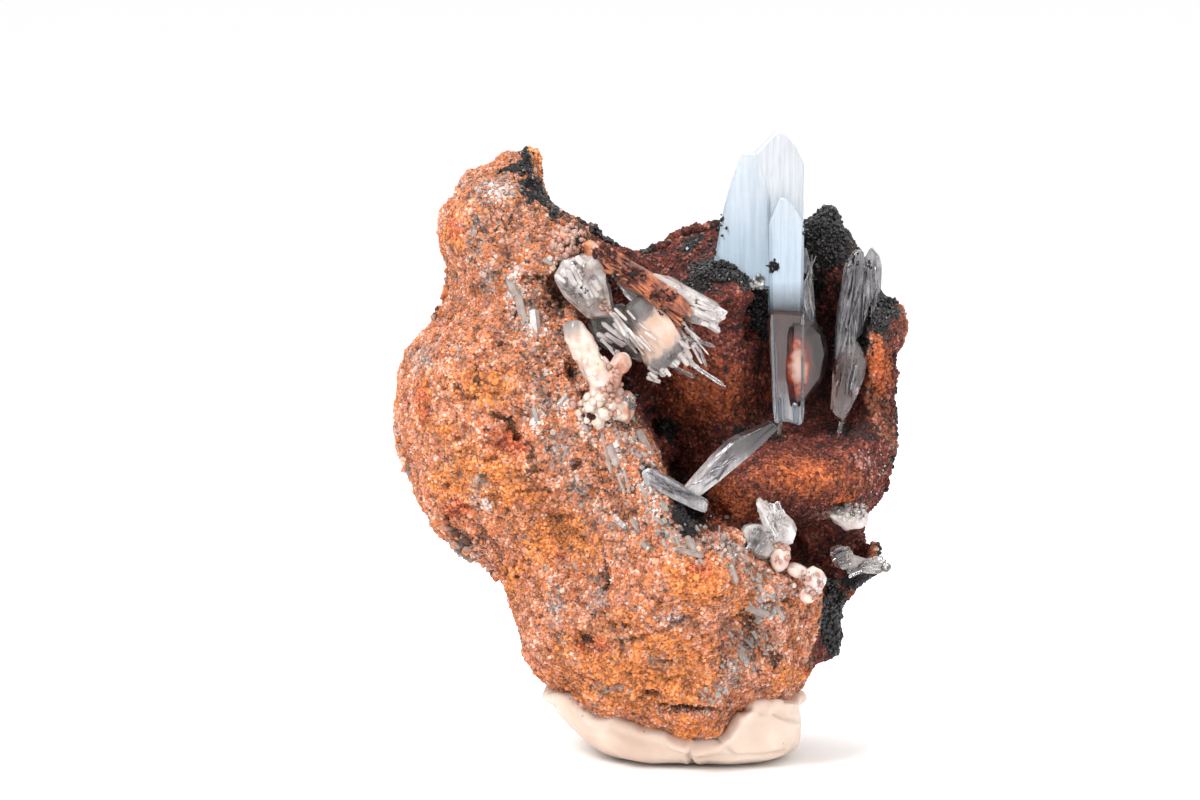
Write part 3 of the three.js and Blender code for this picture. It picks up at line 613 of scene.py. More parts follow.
def make_scatter_tree():
    tree = bpy.data.node_groups.new("Scatter grains", "GeometryNodeTree")
    tree.interface.new_socket("Geometry", in_out="INPUT", socket_type="NodeSocketGeometry")
    for name, kind in SCATTER_INPUTS:
        tree.interface.new_socket(name, in_out="INPUT", socket_type=kind)
    tree.interface.new_socket("Geometry", in_out="OUTPUT", socket_type="NodeSocketGeometry")

    group = add(tree, "NodeGroupInput")
    where = add(tree, "GeometryNodeInputNamedAttribute", {"Name": (group, "Where")})
    bare = add(tree, "GeometryNodeInputNamedAttribute", {"Name": (group, "Where not")})
    free = {"Value": 1.0, "Value_001": (bare, "Attribute")}
    free = add(tree, "ShaderNodeMath", free, operation="SUBTRACT")
    share = {"Value": (where, "Attribute"), "Value_001": free}
    share = add(tree, "ShaderNodeMath", share, operation="MULTIPLY")
    scaled = {"Value": (group, "Grains per square millimetre"), "Value_001": 1 / MM**2}
    per_metre = add(tree, "ShaderNodeMath", scaled, operation="MULTIPLY")
    density = add(tree, "ShaderNodeMath", {"Value": share, "Value_001": per_metre}, operation="MULTIPLY")
    spread = {"Mesh": (group, "Geometry"), "Density": density, "Seed": (group, "Seed")}
    spread = add(tree, "GeometryNodeDistributePointsOnFaces", spread)
    grain = {"Segments": (group, "Segments"), "Rings": (group, "Rings"), "Radius": 0.5 * MM}
    grain = add(tree, "GeometryNodeMeshUVSphere", grain)
    turn = {"Max": (6.28, 6.28, 6.28), "Seed": (group, "Seed")}
    turn = add(tree, "FunctionNodeRandomValue", turn, data_type="FLOAT_VECTOR")
    size = {"Min_001": (group, "Smallest"), "Max_001": (group, "Largest"), "Seed": (group, "Seed")}
    size = add(tree, "FunctionNodeRandomValue", size, data_type="FLOAT")
    placed = {"Points": (spread, "Points"), "Instance": (grain, "Mesh"), "Rotation": turn, "Scale": size}
    placed = add(tree, "GeometryNodeInstanceOnPoints", placed)
    tint = {"Min_001": 0.02, "Max_001": 1.0, "Seed": (group, "Seed")}
    tint = add(tree, "FunctionNodeRandomValue", tint, data_type="FLOAT")
    tinted = {"Geometry": placed, "Name": "tint", "Value": tint}
    tinted = add(tree, "GeometryNodeStoreNamedAttribute", tinted, data_type="FLOAT", domain="INSTANCE")
    solid = add(tree, "GeometryNodeRealizeInstances", {"Geometry": tinted})
    coated = add(tree, "GeometryNodeSetMaterial", {"Geometry": solid, "Material": (group, "Material")})
    add(tree, "NodeGroupOutput", {"Geometry": coated})
    return tree


scatter_tree = make_scatter_tree()


def scatter(name, on, material, slot, *values):
    """values are the inputs of the tree in their order, without the material."""
    carrier = new_carrier(name + "_carrier", on)
    grains = carrier.modifiers.new("Grains", "NODES")
    grains.node_group = scatter_tree
    inputs = [s for s in scatter_tree.interface.items_tree if s.in_out == "INPUT"]
    for (key, _), value in zip(SCATTER_INPUTS, [*values, material]):
        grains[socket(inputs, key).identifier] = value
    return new_piece(name, evaluated_mesh(carrier), None)


# %% [markdown]
# Four crowds are laid over each other, from crumbs of half a millimetre down to sand. One crowd
# with a wide range of sizes would look the same, but each piece has to stay a light mesh.

# %% Grains of the wall
GRAINS = [
    # name, grains per square mm, where, where not, smallest, largest, segments, rings, seed
    ("wall_crumbs", 0.35, "grainy", "hollow", 0.35, 0.65, 5, 3, 17),
    ("wall_grains", 7.4, "grainy", "hollow", 0.2, 0.44, 4, 2, 3),
    ("wall_grit", 5.4, "grainy", "none", 0.17, 0.37, 4, 2, 8),
    ("wall_sand", 5.4, "grainy", "none", 0.15, 0.33, 4, 2, 12),
]
for name, *values in GRAINS:
    scatter(name, rock_mesh, rock_material, "iron_oxide_rock", *values)

# %% [markdown]
# Manganese oxide grows as a black druse of tiny knobs. It is nearly matt with a faint glint, so its
# material is a dark brown-black with a middling roughness.

# %% Black druse
def make_druse_material():
    material, tree, _ = new_material("Manganese oxide druse")
    tint = (add(tree, "ShaderNodeAttribute", attribute_name="tint"), "Fac")
    soot = [(0.0, "#070606"), (1.0, "#38302E"), (0.85, "#141110")]
    tone = add(tree, "ShaderNodeValToRGB", {"Fac": tint}, ramp=soot)
    gleam = add(tree, "ShaderNodeMapRange", {"Value": tint, "To Min": 0.6, "To Max": 0.25})
    surface = add(tree, "ShaderNodeBsdfPrincipled", {"Base Color": tone, "Roughness": gleam})
    add(tree, "ShaderNodeOutputMaterial", {"Surface": surface})
    return material


druse_material = make_druse_material()
druse = (9.5, "black", "none", 0.2, 0.44, 5, 3, 5)
scatter("black_druse", rock_mesh, druse_material, "iron_oxide_rock", *druse)

# %% [markdown]
# ## Barite
# Barite is heavy, glassy and brittle, with an index of refraction of about 1.64. The large plates
# here are pale blue and slightly milky, fine ridges run up their faces, and their tips are frosted
# white. The clear ones are colourless to smoky. All are see-through by transmission, with a little
# absorption in the thick and the smoky ones. Streaks run along the crystal, so the noise that draws
# them is turned and stretched with it.

# %% Barite material
BARITE_IOR = 1.64
RIDGE_RELIEF = 0.06  # mm


def make_barite(
    name, colours, transmission, roughness, streak_turn=0, streak_mm=0.35, streak_dark=0.88,
    bump=0.5, density=0, absorb="#FFFFFF", heights=None, clear_below=None,
):
    """colours is a ramp, from the lower to the upper of two heights where heights gives them, and
    otherwise over a cloudy noise. Below clear_below the crystal turns clear."""
    material, tree, place = new_material(name)
    stretched = {"Vector": place, "Rotation": (0, math.radians(streak_turn), 0), "Scale": (1.0, 1.0, 0.05)}
    stretched = add(tree, "ShaderNodeMapping", stretched)
    streaks = {"Vector": stretched, "Scale": per_mm(streak_mm), "Detail": 4.0, "Roughness": 0.65}
    streaks = (add(tree, "ShaderNodeTexNoise", streaks), "Fac")
    veils = {"Vector": place, "Scale": per_mm(2.0), "Detail": 5.0, "Roughness": 0.62}
    where = (add(tree, "ShaderNodeTexNoise", veils), "Fac")
    height = (add(tree, "ShaderNodeSeparateXYZ", {"Vector": place}), "Z")
    if heights:
        rising = {"Value": height, "From Min": heights[0] * MM, "From Max": heights[1] * MM}
        rising = add(tree, "ShaderNodeMapRange", {**rising, "To Min": -0.2, "To Max": 0.8})
        mixed = {"Value": where, "Value_001": 0.4, "Value_002": rising}
        where = add(tree, "ShaderNodeMath", mixed, operation="MULTIPLY_ADD")
    tone = add(tree, "ShaderNodeValToRGB", {"Fac": where}, ramp=colours)
    lines = {"Value": streaks, "From Min": 0.35, "From Max": 0.6, "To Min": streak_dark, "To Max": 1.06}
    lines = add(tree, "ShaderNodeMapRange", lines)
    tone = {"Factor_Float": 1.0, "A_Color": tone, "B_Color": lines}
    tone = add(tree, "ShaderNodeMix", tone, data_type="RGBA", blend_type="MULTIPLY")
    surface = {"Base Color": tone, "Roughness": roughness, "IOR": BARITE_IOR}
    surface["Transmission Weight"] = transmission
    if clear_below:
        clearing = {"Value": height, "From Min": clear_below[0] * MM, "From Max": clear_below[1] * MM}
        clearing = {**clearing, "To Min": 0.95, "To Max": transmission}
        surface["Transmission Weight"] = add(tree, "ShaderNodeMapRange", clearing)
    relief = {"Height": streaks, "Distance": RIDGE_RELIEF * MM, "Strength": bump}
    surface["Normal"] = add(tree, "ShaderNodeBump", relief)
    output = {"Surface": add(tree, "ShaderNodeBsdfPrincipled", surface)}
    if density:
        haze = {"Color": linear(absorb), "Density": density}
        output["Volume"] = add(tree, "ShaderNodeVolumeAbsorption", haze)
    add(tree, "ShaderNodeOutputMaterial", output)
    return material


# %% [markdown]
# One function, many crystals: each finish is a short list of colours, how clear and how smooth
# it is, and which way its streaks run. Frosted tips are rougher and let less light through.

# %% Blue, clear, grey and smoky barite
blue = [(0.0, "#9FB2C4"), (1.0, "#CDD2D8"), (0.4, "#A9BBCA"), (0.7, "#BAC5D0")]
blue_glass = make_barite("Blue barite", blue, 0.3, 0.25, heights=(34, 50), density=30, absorb="#A8CBEA")
frosted = [(0.0, "#9FB2C4"), (1.0, "#B9BCC1"), (0.5, "#A9B6C2"), (0.7, "#B4BAC1")]
frosted_glass = make_barite(
    "Frosted barite", frosted, 0.15, 0.4, 50, 0.3, 0.8, 1.0, density=20, absorb="#A8CBEA", heights=(34, 48),
)
pale_blue = [(0.0, "#A5B5C5"), (1.0, "#D4D8DD"), (0.4, "#B6C4D1"), (0.7, "#C8D0D9")]
narrow_glass = make_barite(
    "Pale blue barite", pale_blue, 0.3, 0.2, heights=(34, 52), clear_below=(36.4, 38.6), density=20,
    absorb="#B4CCE4",
)
clear_glass = make_barite("Clear barite", [(0.35, "#D5D3D4"), (0.65, "#F4F3F3")], 0.97, 0.05, bump=0.7)
veined = [(0.36, "#5F5B5D"), (0.64, "#CFCBCB"), (0.5, "#97939A")]
grey_glass = make_barite("Grey barite", veined, 0.65, 0.14, streak_dark=0.35, bump=0.9, streak_turn=5)
veiled = [(0.38, "#A08C84"), (0.62, "#F2ECE9"), (0.5, "#CDC0BA")]
left_glass = make_barite("Veiled barite", veiled, 0.5, 0.1, streak_turn=-35, streak_dark=0.8, bump=0.5)
sliver_glass = make_barite("Broken barite", [(0.38, "#D6C8C2"), (0.62, "#F8F3F1")], 0.6, 0.08, bump=0.4)
smoky = [(0.35, "#6F6A6A"), (0.65, "#B5B0AE")]
smoky_glass = make_barite("Smoky barite", smoky, 0.85, 0.08, streak_turn=-50, density=250, absorb="#6E6468")
print("barite materials made")

# %% [markdown]
# ## Plates with ridges
# A tabular crystal is an outline with a thickness, its edges cut off by small faces. Its broad faces
# are ridged along one direction. To get ridges that catch the light, the plate is cut into strips
# along that direction and each cut line is moved in or out by a few hundredths of a millimetre.

# %% Build a ridged plate
def cut_across(shape, direction, spacing, random):
    reach = [v.co.dot(direction) for v in shape.verts]
    at = min(reach) + spacing * random.uniform(0.3, 0.9)
    while at < max(reach):
        whole = shape.verts[:] + shape.edges[:] + shape.faces[:]
        bmesh.ops.bisect_plane(shape, geom=whole, plane_co=direction * at, plane_no=direction, dist=0.01)
        at += spacing * random.uniform(0.45, 1.6)


def plate(
    outline, front, thickness, lean=(0, 0), bevel=0.22, ridges_turn=0, strip=0.42, ridge=0.07, seed=1
):
    """The outline is across and up, as in the solid, and front is the depth of its near face.
    ridges_turn leans the ridges from upright, in degrees towards the right."""
    middle = np.mean(outline, 0)
    shape = bmesh.new()
    ring = [shape.verts.new((x - middle[0], -thickness / 2, z - middle[1])) for x, z in outline]
    grown = bmesh.ops.extrude_face_region(shape, geom=[shape.faces.new(ring)])
    far_ring = [v for v in grown["geom"] if isinstance(v, bmesh.types.BMVert)]
    bmesh.ops.translate(shape, verts=far_ring, vec=(0, thickness, 0))
    bmesh.ops.recalc_face_normals(shape, faces=shape.faces)
    bmesh.ops.bevel(shape, geom=shape.edges[:], offset=bevel, segments=1, affect="EDGES")
    bmesh.ops.remove_doubles(shape, verts=shape.verts, dist=0.01)
    turn = math.radians(ridges_turn)
    over, along = Vector((math.cos(turn), 0, -math.sin(turn))), Vector((math.sin(turn), 0, math.cos(turn)))
    random = np.random.default_rng(seed)
    cut_across(shape, over, strip, random)
    cut_across(shape, along, 2.2, random)
    bmesh.ops.triangulate(shape, faces=[f for f in shape.faces if len(f.verts) > 4])
    mesh = bpy.data.meshes.new("plate")
    shape.to_mesh(mesh)
    shape.free()

    points = read_points(mesh) * MM
    ridges = [points @ np.array(over), points @ np.array(along) * 0.06, np.full(len(points), seed)]
    broad = fade(np.abs(points[:, 1]), thickness / 2 - bevel * 0.6, thickness / 2 - bevel * 0.3)
    steps = noise(np.stack(ridges, 1), strip * 1.1, seed) - 0.6
    points[:, 1] += np.sign(points[:, 1]) * broad * ridge * steps
    chips = np.stack([noise(points, 0.5, seed + k) for k in (20, 21, 22)], 1)
    points += 0.05 * (1 - broad)[:, None] * chips
    turned = Matrix.Rotation(math.radians(lean[1]), 3, "Z") @ Matrix.Rotation(math.radians(lean[0]), 3, "X")
    points = points @ np.array(turned).T + place_of(middle[0], front + thickness / 2, middle[1])
    write_points(mesh, points)
    return mesh


# %% [markdown]
# ## The blue cluster
# Seven crystals have grown together: two broad blue plates behind, a narrow one in front that ends
# in a clear foot, a lens-shaped crystal stained by iron, a clear side blade and a glassy stub. Each
# but the stub is a piece of its own, so each has its own finish, and together they stand for one solid.

# %% Blue plates
blue_left = plate(
    [(5.0, 38.4), (5.1, 40.2), (5.9, 44.9), (7.3, 49.3), (8.5, 49.3), (9.6, 45.5), (9.8, 38.4)],
    0.2, 1.6, (0, -6), ridges_turn=8, seed=2,
)
new_piece("blue_left_plate", blue_left, blue_glass, stands_for="blue_barite")
blue_tall = plate(
    [(8.2, 38.4), (8.3, 49.1), (9.0, 49.9), (10.0, 50.9), (10.8, 50.6), (11.6, 49.6), (12.2, 48.4),
    (12.2, 38.4)],
    0.3, 2.0, (0, 4), bevel=0.12, ridges_turn=40, ridge=0.05, seed=3,
)
new_piece("blue_tall_plate", blue_tall, frosted_glass)
blue_narrow = plate(
    [(9.5, 36.0), (9.4, 43.6), (10.3, 45.7), (11.0, 45.4), (12.2, 43.6), (12.1, 36.0)],
    -1.2, 2.0, (0, 3), strip=0.3, seed=4,
)
new_piece("blue_narrow_plate", blue_narrow, narrow_glass)

# %% [markdown]
# The narrow blue plate ends in a clear foot. The iron-red wall seen through it is painted into its
# colour, and it's whitish again at its broken lower end, so its colours and its clearness follow the
# height.

# %% Clear foot and side blade
clear_foot = plate(
    [(9.3, 35.6), (9.6, 31.5), (9.9, 27.5), (10.8, 27.8), (12.1, 27.3), (12.2, 36.4), (9.6, 36.6)],
    -1.9, 0.9, (2, 4), strip=0.5, ridge=0.12, seed=5,
)
# The red in these colours is painted: it stands for the iron-oxide wall seen through the foot.
tinted = [(0.0, "#F4F2F3"), (1.0, "#8A5048"), (0.3, "#E6D6D4"), (0.5, "#A8604E"), (0.7, "#B87E72")]
foot_glass = make_barite(
    "Clear barite with painted see-through red", tinted, 0.45, 0.03, 0, 0.5, 0.7, 0.8, heights=(27, 36),
    clear_below=(31.0, 28.6),
)
new_piece("clear_foot", clear_foot, foot_glass)
side_blade = plate(
    [(11.7, 35.0), (11.7, 41.4), (12.3, 41.8), (12.9, 39.6), (13.1, 36.2), (13.6, 34.4)], -0.4, 1.4,
    (0, 12), seed=6,
)
new_piece("side_blade", side_blade, grey_glass)

# %% [markdown]
# The lens crystal is zoned: a pale heart, a rust-red seam around it and a cloudy skin. The zones
# follow its outline, so its colour is read from the distance to the middle of the lens, squeezed
# to the lens's shape.

# %% Stained lens
LENS_SKINS = [
    (0.26, "#CCA698"), (1.0, "#3E2C2C"), (0.4, "#A87C6C"), (0.485, "#943C22"), (0.54, "#5A2016"),
    (0.6, "#523434"),
]


def make_zoned(name, middle, half, turn, skins, clear_from, clear_most):
    """Zones around a middle, out to half sizes in millimetres, turned on the picture plane."""
    material, tree, place = new_material(name)
    centred = {"Vector": place, "Vector_001": tuple(middle * MM)}
    centred = add(tree, "ShaderNodeVectorMath", centred, operation="SUBTRACT")
    centred = add(tree, "ShaderNodeMapping", {"Vector": centred, "Rotation": (0, math.radians(turn), 0)})
    squeeze = {"Vector": centred, "Vector_001": (per_mm(half[0]), 0, per_mm(half[1]))}
    squeezed = add(tree, "ShaderNodeVectorMath", squeeze, operation="MULTIPLY")
    ring = (add(tree, "ShaderNodeVectorMath", {"Vector": squeezed}, operation="LENGTH"), "Value")
    ripple = {"Vector": place, "Scale": per_mm(0.7), "Detail": 4.0}
    ripple = (add(tree, "ShaderNodeTexNoise", ripple), "Fac")
    zone = {"Value": ripple, "Value_001": 0.7, "Value_002": ring}
    zone = add(tree, "ShaderNodeMath", zone, operation="MULTIPLY_ADD")
    zone = add(tree, "ShaderNodeMath", {"Value": zone, "Value_001": 0.5}, operation="MULTIPLY")
    tone = add(tree, "ShaderNodeValToRGB", {"Fac": zone}, ramp=skins)
    clear = {"Value": zone, "From Min": clear_from, "From Max": clear_from + 0.12}
    clear = {**clear, "To Min": 0.3, "To Max": clear_most}
    clear = add(tree, "ShaderNodeMapRange", clear)
    surface = {"Base Color": tone, "Roughness": 0.2, "IOR": BARITE_IOR, "Transmission Weight": clear}
    add(tree, "ShaderNodeOutputMaterial", {"Surface": add(tree, "ShaderNodeBsdfPrincipled", surface)})
    return material


lens = plate(
    [(10.8, 35.8), (12.6, 36.0), (13.7, 35.0), (14.1, 33.2), (13.7, 31.2), (12.4, 29.4), (11.1, 28.6),
     (10.6, 31.6)],
    -2.1, 2.8, (0, 8), bevel=0.45, strip=0.7, ridge=0.1, seed=7,
)
lens_middle = place_of(11.8, -1.2, 32.2)
stained = make_zoned("Iron-stained barite", lens_middle, (1.2, 3.0), 0, LENS_SKINS, 0.58, 0.85)
new_piece("stained_lens", lens, stained)

# %% [markdown]
# ## Grey blades in the right bay
# Three thin blades, grown together and deeply ridged, stand against the right-hand wall.

# %% Grey blades
GREY_BLADES = {
    "grey_blade_tall": (
        [(15.1, 37.2), (15.6, 40.3), (16.3, 41.4), (16.9, 41.4), (17.0, 40.2), (16.6, 36.6), (16.2, 33.4),
         (15.2, 31.6), (14.7, 31.6), (14.8, 35.4)], -1.6, 1.4, (0, 8), 4,
    ),
    "grey_blade_right": (
        [(16.4, 34.4), (16.4, 39.6), (17.6, 41.7), (18.2, 41.0), (18.5, 40.0), (18.4, 38.2), (17.4, 37.2),
         (16.9, 34.6)], -1.2, 1.6, (0, -6), 10,
    ),
    "grey_blade_low": (
        [(15.2, 34.0), (16.4, 34.2), (17.2, 32.6), (17.0, 31.2), (16.2, 29.4), (15.2, 27.6), (14.4, 28.6),
         (14.6, 32.0)], -1.9, 1.2, (0, 14), 2,
    ),
}
clear_striated = make_barite(
    "Clear striated barite", [(0.4, "#8C5A50"), (0.62, "#D8CCCA")], 0.92, 0.06, 4, 0.3, 0.6, 0.9
)
for i, (name, (outline, front_at, thick, lean, ridges_turn)) in enumerate(GREY_BLADES.items()):
    blade = plate(outline, front_at, thick, lean, 0.16, ridges_turn, strip=0.26, ridge=0.16, seed=30 + i)
    finish = clear_striated if name == "grey_blade_low" else grey_glass
    new_piece(name, blade, finish, stands_for=None if i else "grey_barite")

# %% [markdown]
# ## The left-hand cluster
# A tangle against the rim: a grey glassy plate, a smoky one, a thick blade with a cream heart, a
# blade coated by rust, and a long clear plate whose end sticks out over the hollow.

# %% Cream and rust-coated barite
CREAM_SKINS = [(0.25, "#D8BEAD"), (1.0, "#8F8A88"), (0.42, "#CBA68F"), (0.56, "#B9A498"), (0.7, "#989290")]
cream_middle = place_of(0.6, -9, 34.9)
cream_heart = make_zoned("Cream-hearted barite", cream_middle, (1.9, 4.2), -42, CREAM_SKINS, 0.5, 0.8)
rust_ramp = [(0.34, "#54281A"), (0.68, "#CCA492"), (0.43, "#7A3A22"), (0.51, "#A05632"), (0.6, "#BC7446")]
rust_coat = make_barite(
    "Rust-coated barite", rust_ramp, 0.0, 0.55, streak_turn=-52, streak_dark=0.5, bump=1.0
)

# %% [markdown]
# Each plate is an outline with a depth, a thickness, a lean and its ridges' direction, in one
# table, because they differ only in these numbers.

# %% Left-hand plates
LEFT_PLATES = {
    "left_grey_plate": (
        [(-7.6, 39.0), (-6.8, 40.5), (-5.0, 40.9), (-3.6, 39.6), (-3.2, 38.0), (-2.9, 36.0), (-4.8, 35.8),
         (-6.6, 37.4)], -9.2, 1.6, (6, -10), 0.22, -30, left_glass,
    ),
    "left_upper_plate": (
        [(-5.4, 40.5), (-4.4, 40.8), (-3.7, 39.7), (-3.5, 38.2), (-4.2, 37.0), (-5.0, 36.5), (-5.4, 37.8)],
        -9.7, 1.1, (14, 12), 0.2, -20, left_glass,
    ),
    "left_lath": (
        [(-3.0, 38.8), (-2.2, 39.1), (-0.2, 37.1), (-0.7, 36.4), (-2.0, 37.6)],
        -9.2, 0.9, (0, -16), 0.14, -45, clear_glass,
    ),
    "left_smoky_plate": (
        [(-5.2, 36.8), (-2.2, 37.0), (-0.6, 34.8), (0.6, 32.6), (-0.4, 32.4), (-3.0, 33.2), (-4.4, 34.0)],
        -8.3, 1.4, (0, -8), 0.22, -50, smoky_glass,
    ),
    "cream_blade": (
        [(-2.2, 36.6), (-0.6, 37.9), (1.0, 36.8), (2.2, 35.0), (2.7, 34.0), (2.3, 33.0), (0.8, 31.4),
         (-0.2, 31.8), (-1.0, 34.0)], -10.2, 2.6, (0, -12), 0.45, -30, cream_heart,
    ),
    "rusty_blade": (
        [(-5.2, 42.0), (-3.0, 41.0), (-0.4, 39.6), (2.4, 37.8), (3.3, 36.6), (2.6, 35.8), (-0.4, 37.2),
         (-3.0, 38.8), (-5.2, 40.6)], -9.4, 1.8, (0, -10), 0.36, -58, rust_coat,
    ),
    "long_clear_plate": (
        [(-0.6, 39.4), (1.6, 39.0), (5.3, 37.0), (5.8, 35.9), (5.0, 35.1), (3.4, 35.4), (1.0, 36.6)],
        -8.4, 1.3, (0, -8), 0.22, -62, left_glass,
    ),
}
for i, (name, values) in enumerate(LEFT_PLATES.items()):
    outline, front_at, thick, lean, bevel, ridges_turn, finish = values
    blade = plate(outline, front_at, thick, lean, bevel, ridges_turn, strip=0.4, ridge=0.12, seed=40 + i)
    new_piece(name, blade, finish, stands_for=None if i else "left_barite")

# %% [markdown]
# ## Crossed blades
# A long striated blade comes out of the black hole in the rim, and a short one lies across it.

# %% Crossed blades
CROSSED = {
    "long_blade": (
        [(2.4, 22.4), (3.4, 21.9), (7.6, 25.2), (9.8, 27.4), (9.2, 27.8), (6.0, 26.4), (4.6, 25.0)],
        -12.8, 1.3, (8, 14), 48, [(0.0, "#E2DEDD"), (1.0, "#2E2628"), (0.4, "#C2BCBC"), (0.66, "#6A6062")],
        (23.5, 28),
    ),
    "cross_blade": (
        [(-0.8, 24.0), (-0.2, 24.2), (1.3, 23.5), (4.4, 21.6), (4.3, 20.8), (3.2, 21.1), (1.6, 21.9),
         (-0.5, 23.0)],
        -13.7, 1.4, (0, -6), -60, [(0.34, "#7A7678"), (0.64, "#E6E2E2"), (0.5, "#B4B0B2")], None,
    ),
}
for i, (name, values) in enumerate(CROSSED.items()):
    outline, front_at, thick, lean, ridges_turn, colours, heights = values
    finish = make_barite(
        "Striated barite " + name, colours, 0.5, 0.14, ridges_turn, 0.3, 0.6, 0.7, heights=heights
    )
    blade = plate(outline, front_at, thick, lean, 0.16, ridges_turn, strip=0.26, ridge=0.14, seed=50 + i)
    new_piece(name, blade, finish, stands_for=None if i else "crossed_barite")

# %% [markdown]
# ## Shards and splinters
# Many small crystals lie in the rock, along the rim above all, and thin clear splinters stick out of
# the left-hand cluster. Each is a flattened six-sided prism with chisel ends. A ray from the viewer
# finds the point of the rock that a shard lies on, so it sits on the surface seen from any side.

# %% Places on what is seen
LOOK = Vector((0, math.cos(VIEW_DIP), -math.sin(VIEW_DIP)))
ROCK_HEART = np.array([2.0, 24.0])


def tree_of(names):
    """A search tree over some pieces. The faces of the first piece come first."""
    corners, faces = [], []
    for name in names:
        mesh = PIECES[name].data
        faces += [tuple(i + len(corners) for i in p.vertices) for p in mesh.polygons]
        corners += [v.co.copy() for v in mesh.vertices]
    return BVHTree.FromPolygons(corners, faces)


def seen_at(tree, across, up):
    """The seen point in millimetres, the way the surface faces, and the face. A place beside the
    rock is moved towards its heart until it's on it."""
    spot = np.array([across, up])
    for _ in range(20):
        hit, facing, face, _ = tree.ray_cast(Vector(place_of(spot[0], -60, spot[1])) * MM, LOOK)
        if hit is not None:
            return np.array(hit) / MM, np.array(facing), face
        spot = spot + 0.25 * (ROCK_HEART - spot) / np.linalg.norm(ROCK_HEART - spot)
    raise ValueError(f"nothing is seen at {across}, {up}")


rock_tree = tree_of(["rock"])


# %% [markdown]
# A shard is built from four six-sided rings. It has twenty faces, so hundreds of them stay light.

# %% Shards
def shard(middle, along, facing, length, width, thick):
    """Corner points and faces of one prism; facing is the way its broad side looks."""
    along = along / np.linalg.norm(along)
    side = np.cross(along, facing)
    side = side / np.linalg.norm(side)
    facing = np.cross(side, along)
    section = [(1, 0), (0.55, 1), (-0.55, 1), (-1, 0), (-0.55, -1), (0.55, -1)]
    rings = [(-0.5, 0.5), (-0.42, 0.95), (0.4, 1.0), (0.5, 0.35)]
    corners = [
        middle + along * length * t + (side * a * width / 2 + facing * b * thick / 2) * grow
        for t, grow in rings for a, b in section
    ]
    faces = [tuple(range(5, -1, -1)), tuple(range(18, 24))]
    for r in range(3):
        faces += [
            (6 * r + k, 6 * r + (k + 1) % 6, 6 * r + 6 + (k + 1) % 6, 6 * r + 6 + k) for k in range(6)
        ]
    return corners, faces


def mesh_of(parts):
    """One mesh from many small ones, each given as corners and faces in millimetres."""
    corners, faces = [], []
    for some_corners, some_faces in parts:
        faces += [tuple(i + len(corners) for i in face) for face in some_faces]
        corners += list(some_corners)
    mesh = bpy.data.meshes.new("small parts")
    mesh.from_pydata([tuple(np.array(c) * MM) for c in corners], [], faces)
    shape = bmesh.new()
    shape.from_mesh(mesh)
    bmesh.ops.recalc_face_normals(shape, faces=shape.faces)
    shape.to_mesh(mesh)
    shape.free()
    return mesh


# %% [markdown]
# The shards that can be told apart in the rim are placed one by one. Smaller ones fill the pale
# band between them at random.

# %% Shards along the rim
RIM_SHARDS = [
    # from across and up, to across and up, width
    (-5.0, 28.0, -4.3, 25.0, 0.4), (-4.0, 26.9, -3.0, 23.8, 0.35), (-3.3, 26.0, -2.7, 24.3, 0.7),
    (-1.1, 27.2, 0.0, 24.9, 0.8), (-2.7, 23.8, -2.0, 22.1, 0.35), (-2.2, 24.4, -1.7, 22.2, 0.3),
    (-1.1, 23.4, -0.4, 21.8, 0.35), (-3.0, 20.6, -2.0, 19.4, 0.6), (-1.6, 20.2, -0.8, 19.0, 0.45),
    (-9.2, 29.0, -8.8, 27.4, 0.5), (-11.6, 39.8, -10.4, 37.4, 0.8), (-10.6, 37.6, -9.6, 35.2, 0.8),
    (-9.4, 36.6, -8.8, 34.2, 0.9), (-7.3, 28.9, -6.5, 30.0, 0.45), (-0.8, 18.6, 0.5, 17.3, 0.6),
    (1.6, 17.9, 4.0, 17.4, 0.6), (2.8, 19.0, 3.2, 17.5, 0.6), (7.2, 13.4, 9.2, 12.7, 0.8),
    (5.8, 16.6, 6.8, 15.4, 0.7), (-7.2, 40.9, -6.4, 40.0, 0.8), (-8.5, 40.4, -7.7, 40.0, 0.5),
    (9.6, 13.6, 10.4, 12.2, 0.5), (6.8, 10.0, 7.6, 8.8, 0.5), (5.4, 7.6, 6.2, 6.2, 0.45),
]
random = np.random.default_rng(11)
shards = []
for ax, az, bx, bz, width in RIM_SHARDS:
    middle, facing, _ = seen_at(rock_tree, (ax + bx) / 2, (az + bz) / 2)
    along = place_of(bx, 0, bz) - place_of(ax, 0, az)
    along = along - facing * along.dot(facing) * 0.8
    shards.append(shard(middle, along, facing, math.hypot(bx - ax, bz - az), width, width * 0.7))
for t in np.linspace(0, len(PALE_RIM) - 1.01, 150):
    start, end = np.array(PALE_RIM[int(t)]), np.array(PALE_RIM[int(t) + 1])
    middle, facing, _ = seen_at(rock_tree, *(start + t % 1 * (end - start) + random.normal(0, 0.8, 2)))
    along = np.array([0.45, 0.0, -0.9]) + random.normal(0, 0.5, 3)
    length, width = random.uniform(0.4, 1.1), random.uniform(0.2, 0.5)
    shards.append(shard(middle, along, facing + random.normal(0, 0.3, 3), length, width, 0.28))
print(len(shards), "shards")


# %% [markdown]
# Milky barite is whiter and less clear: it holds tiny bubbles. It lets a little light in, so it gets
# a low transmission and some scattering below the surface.

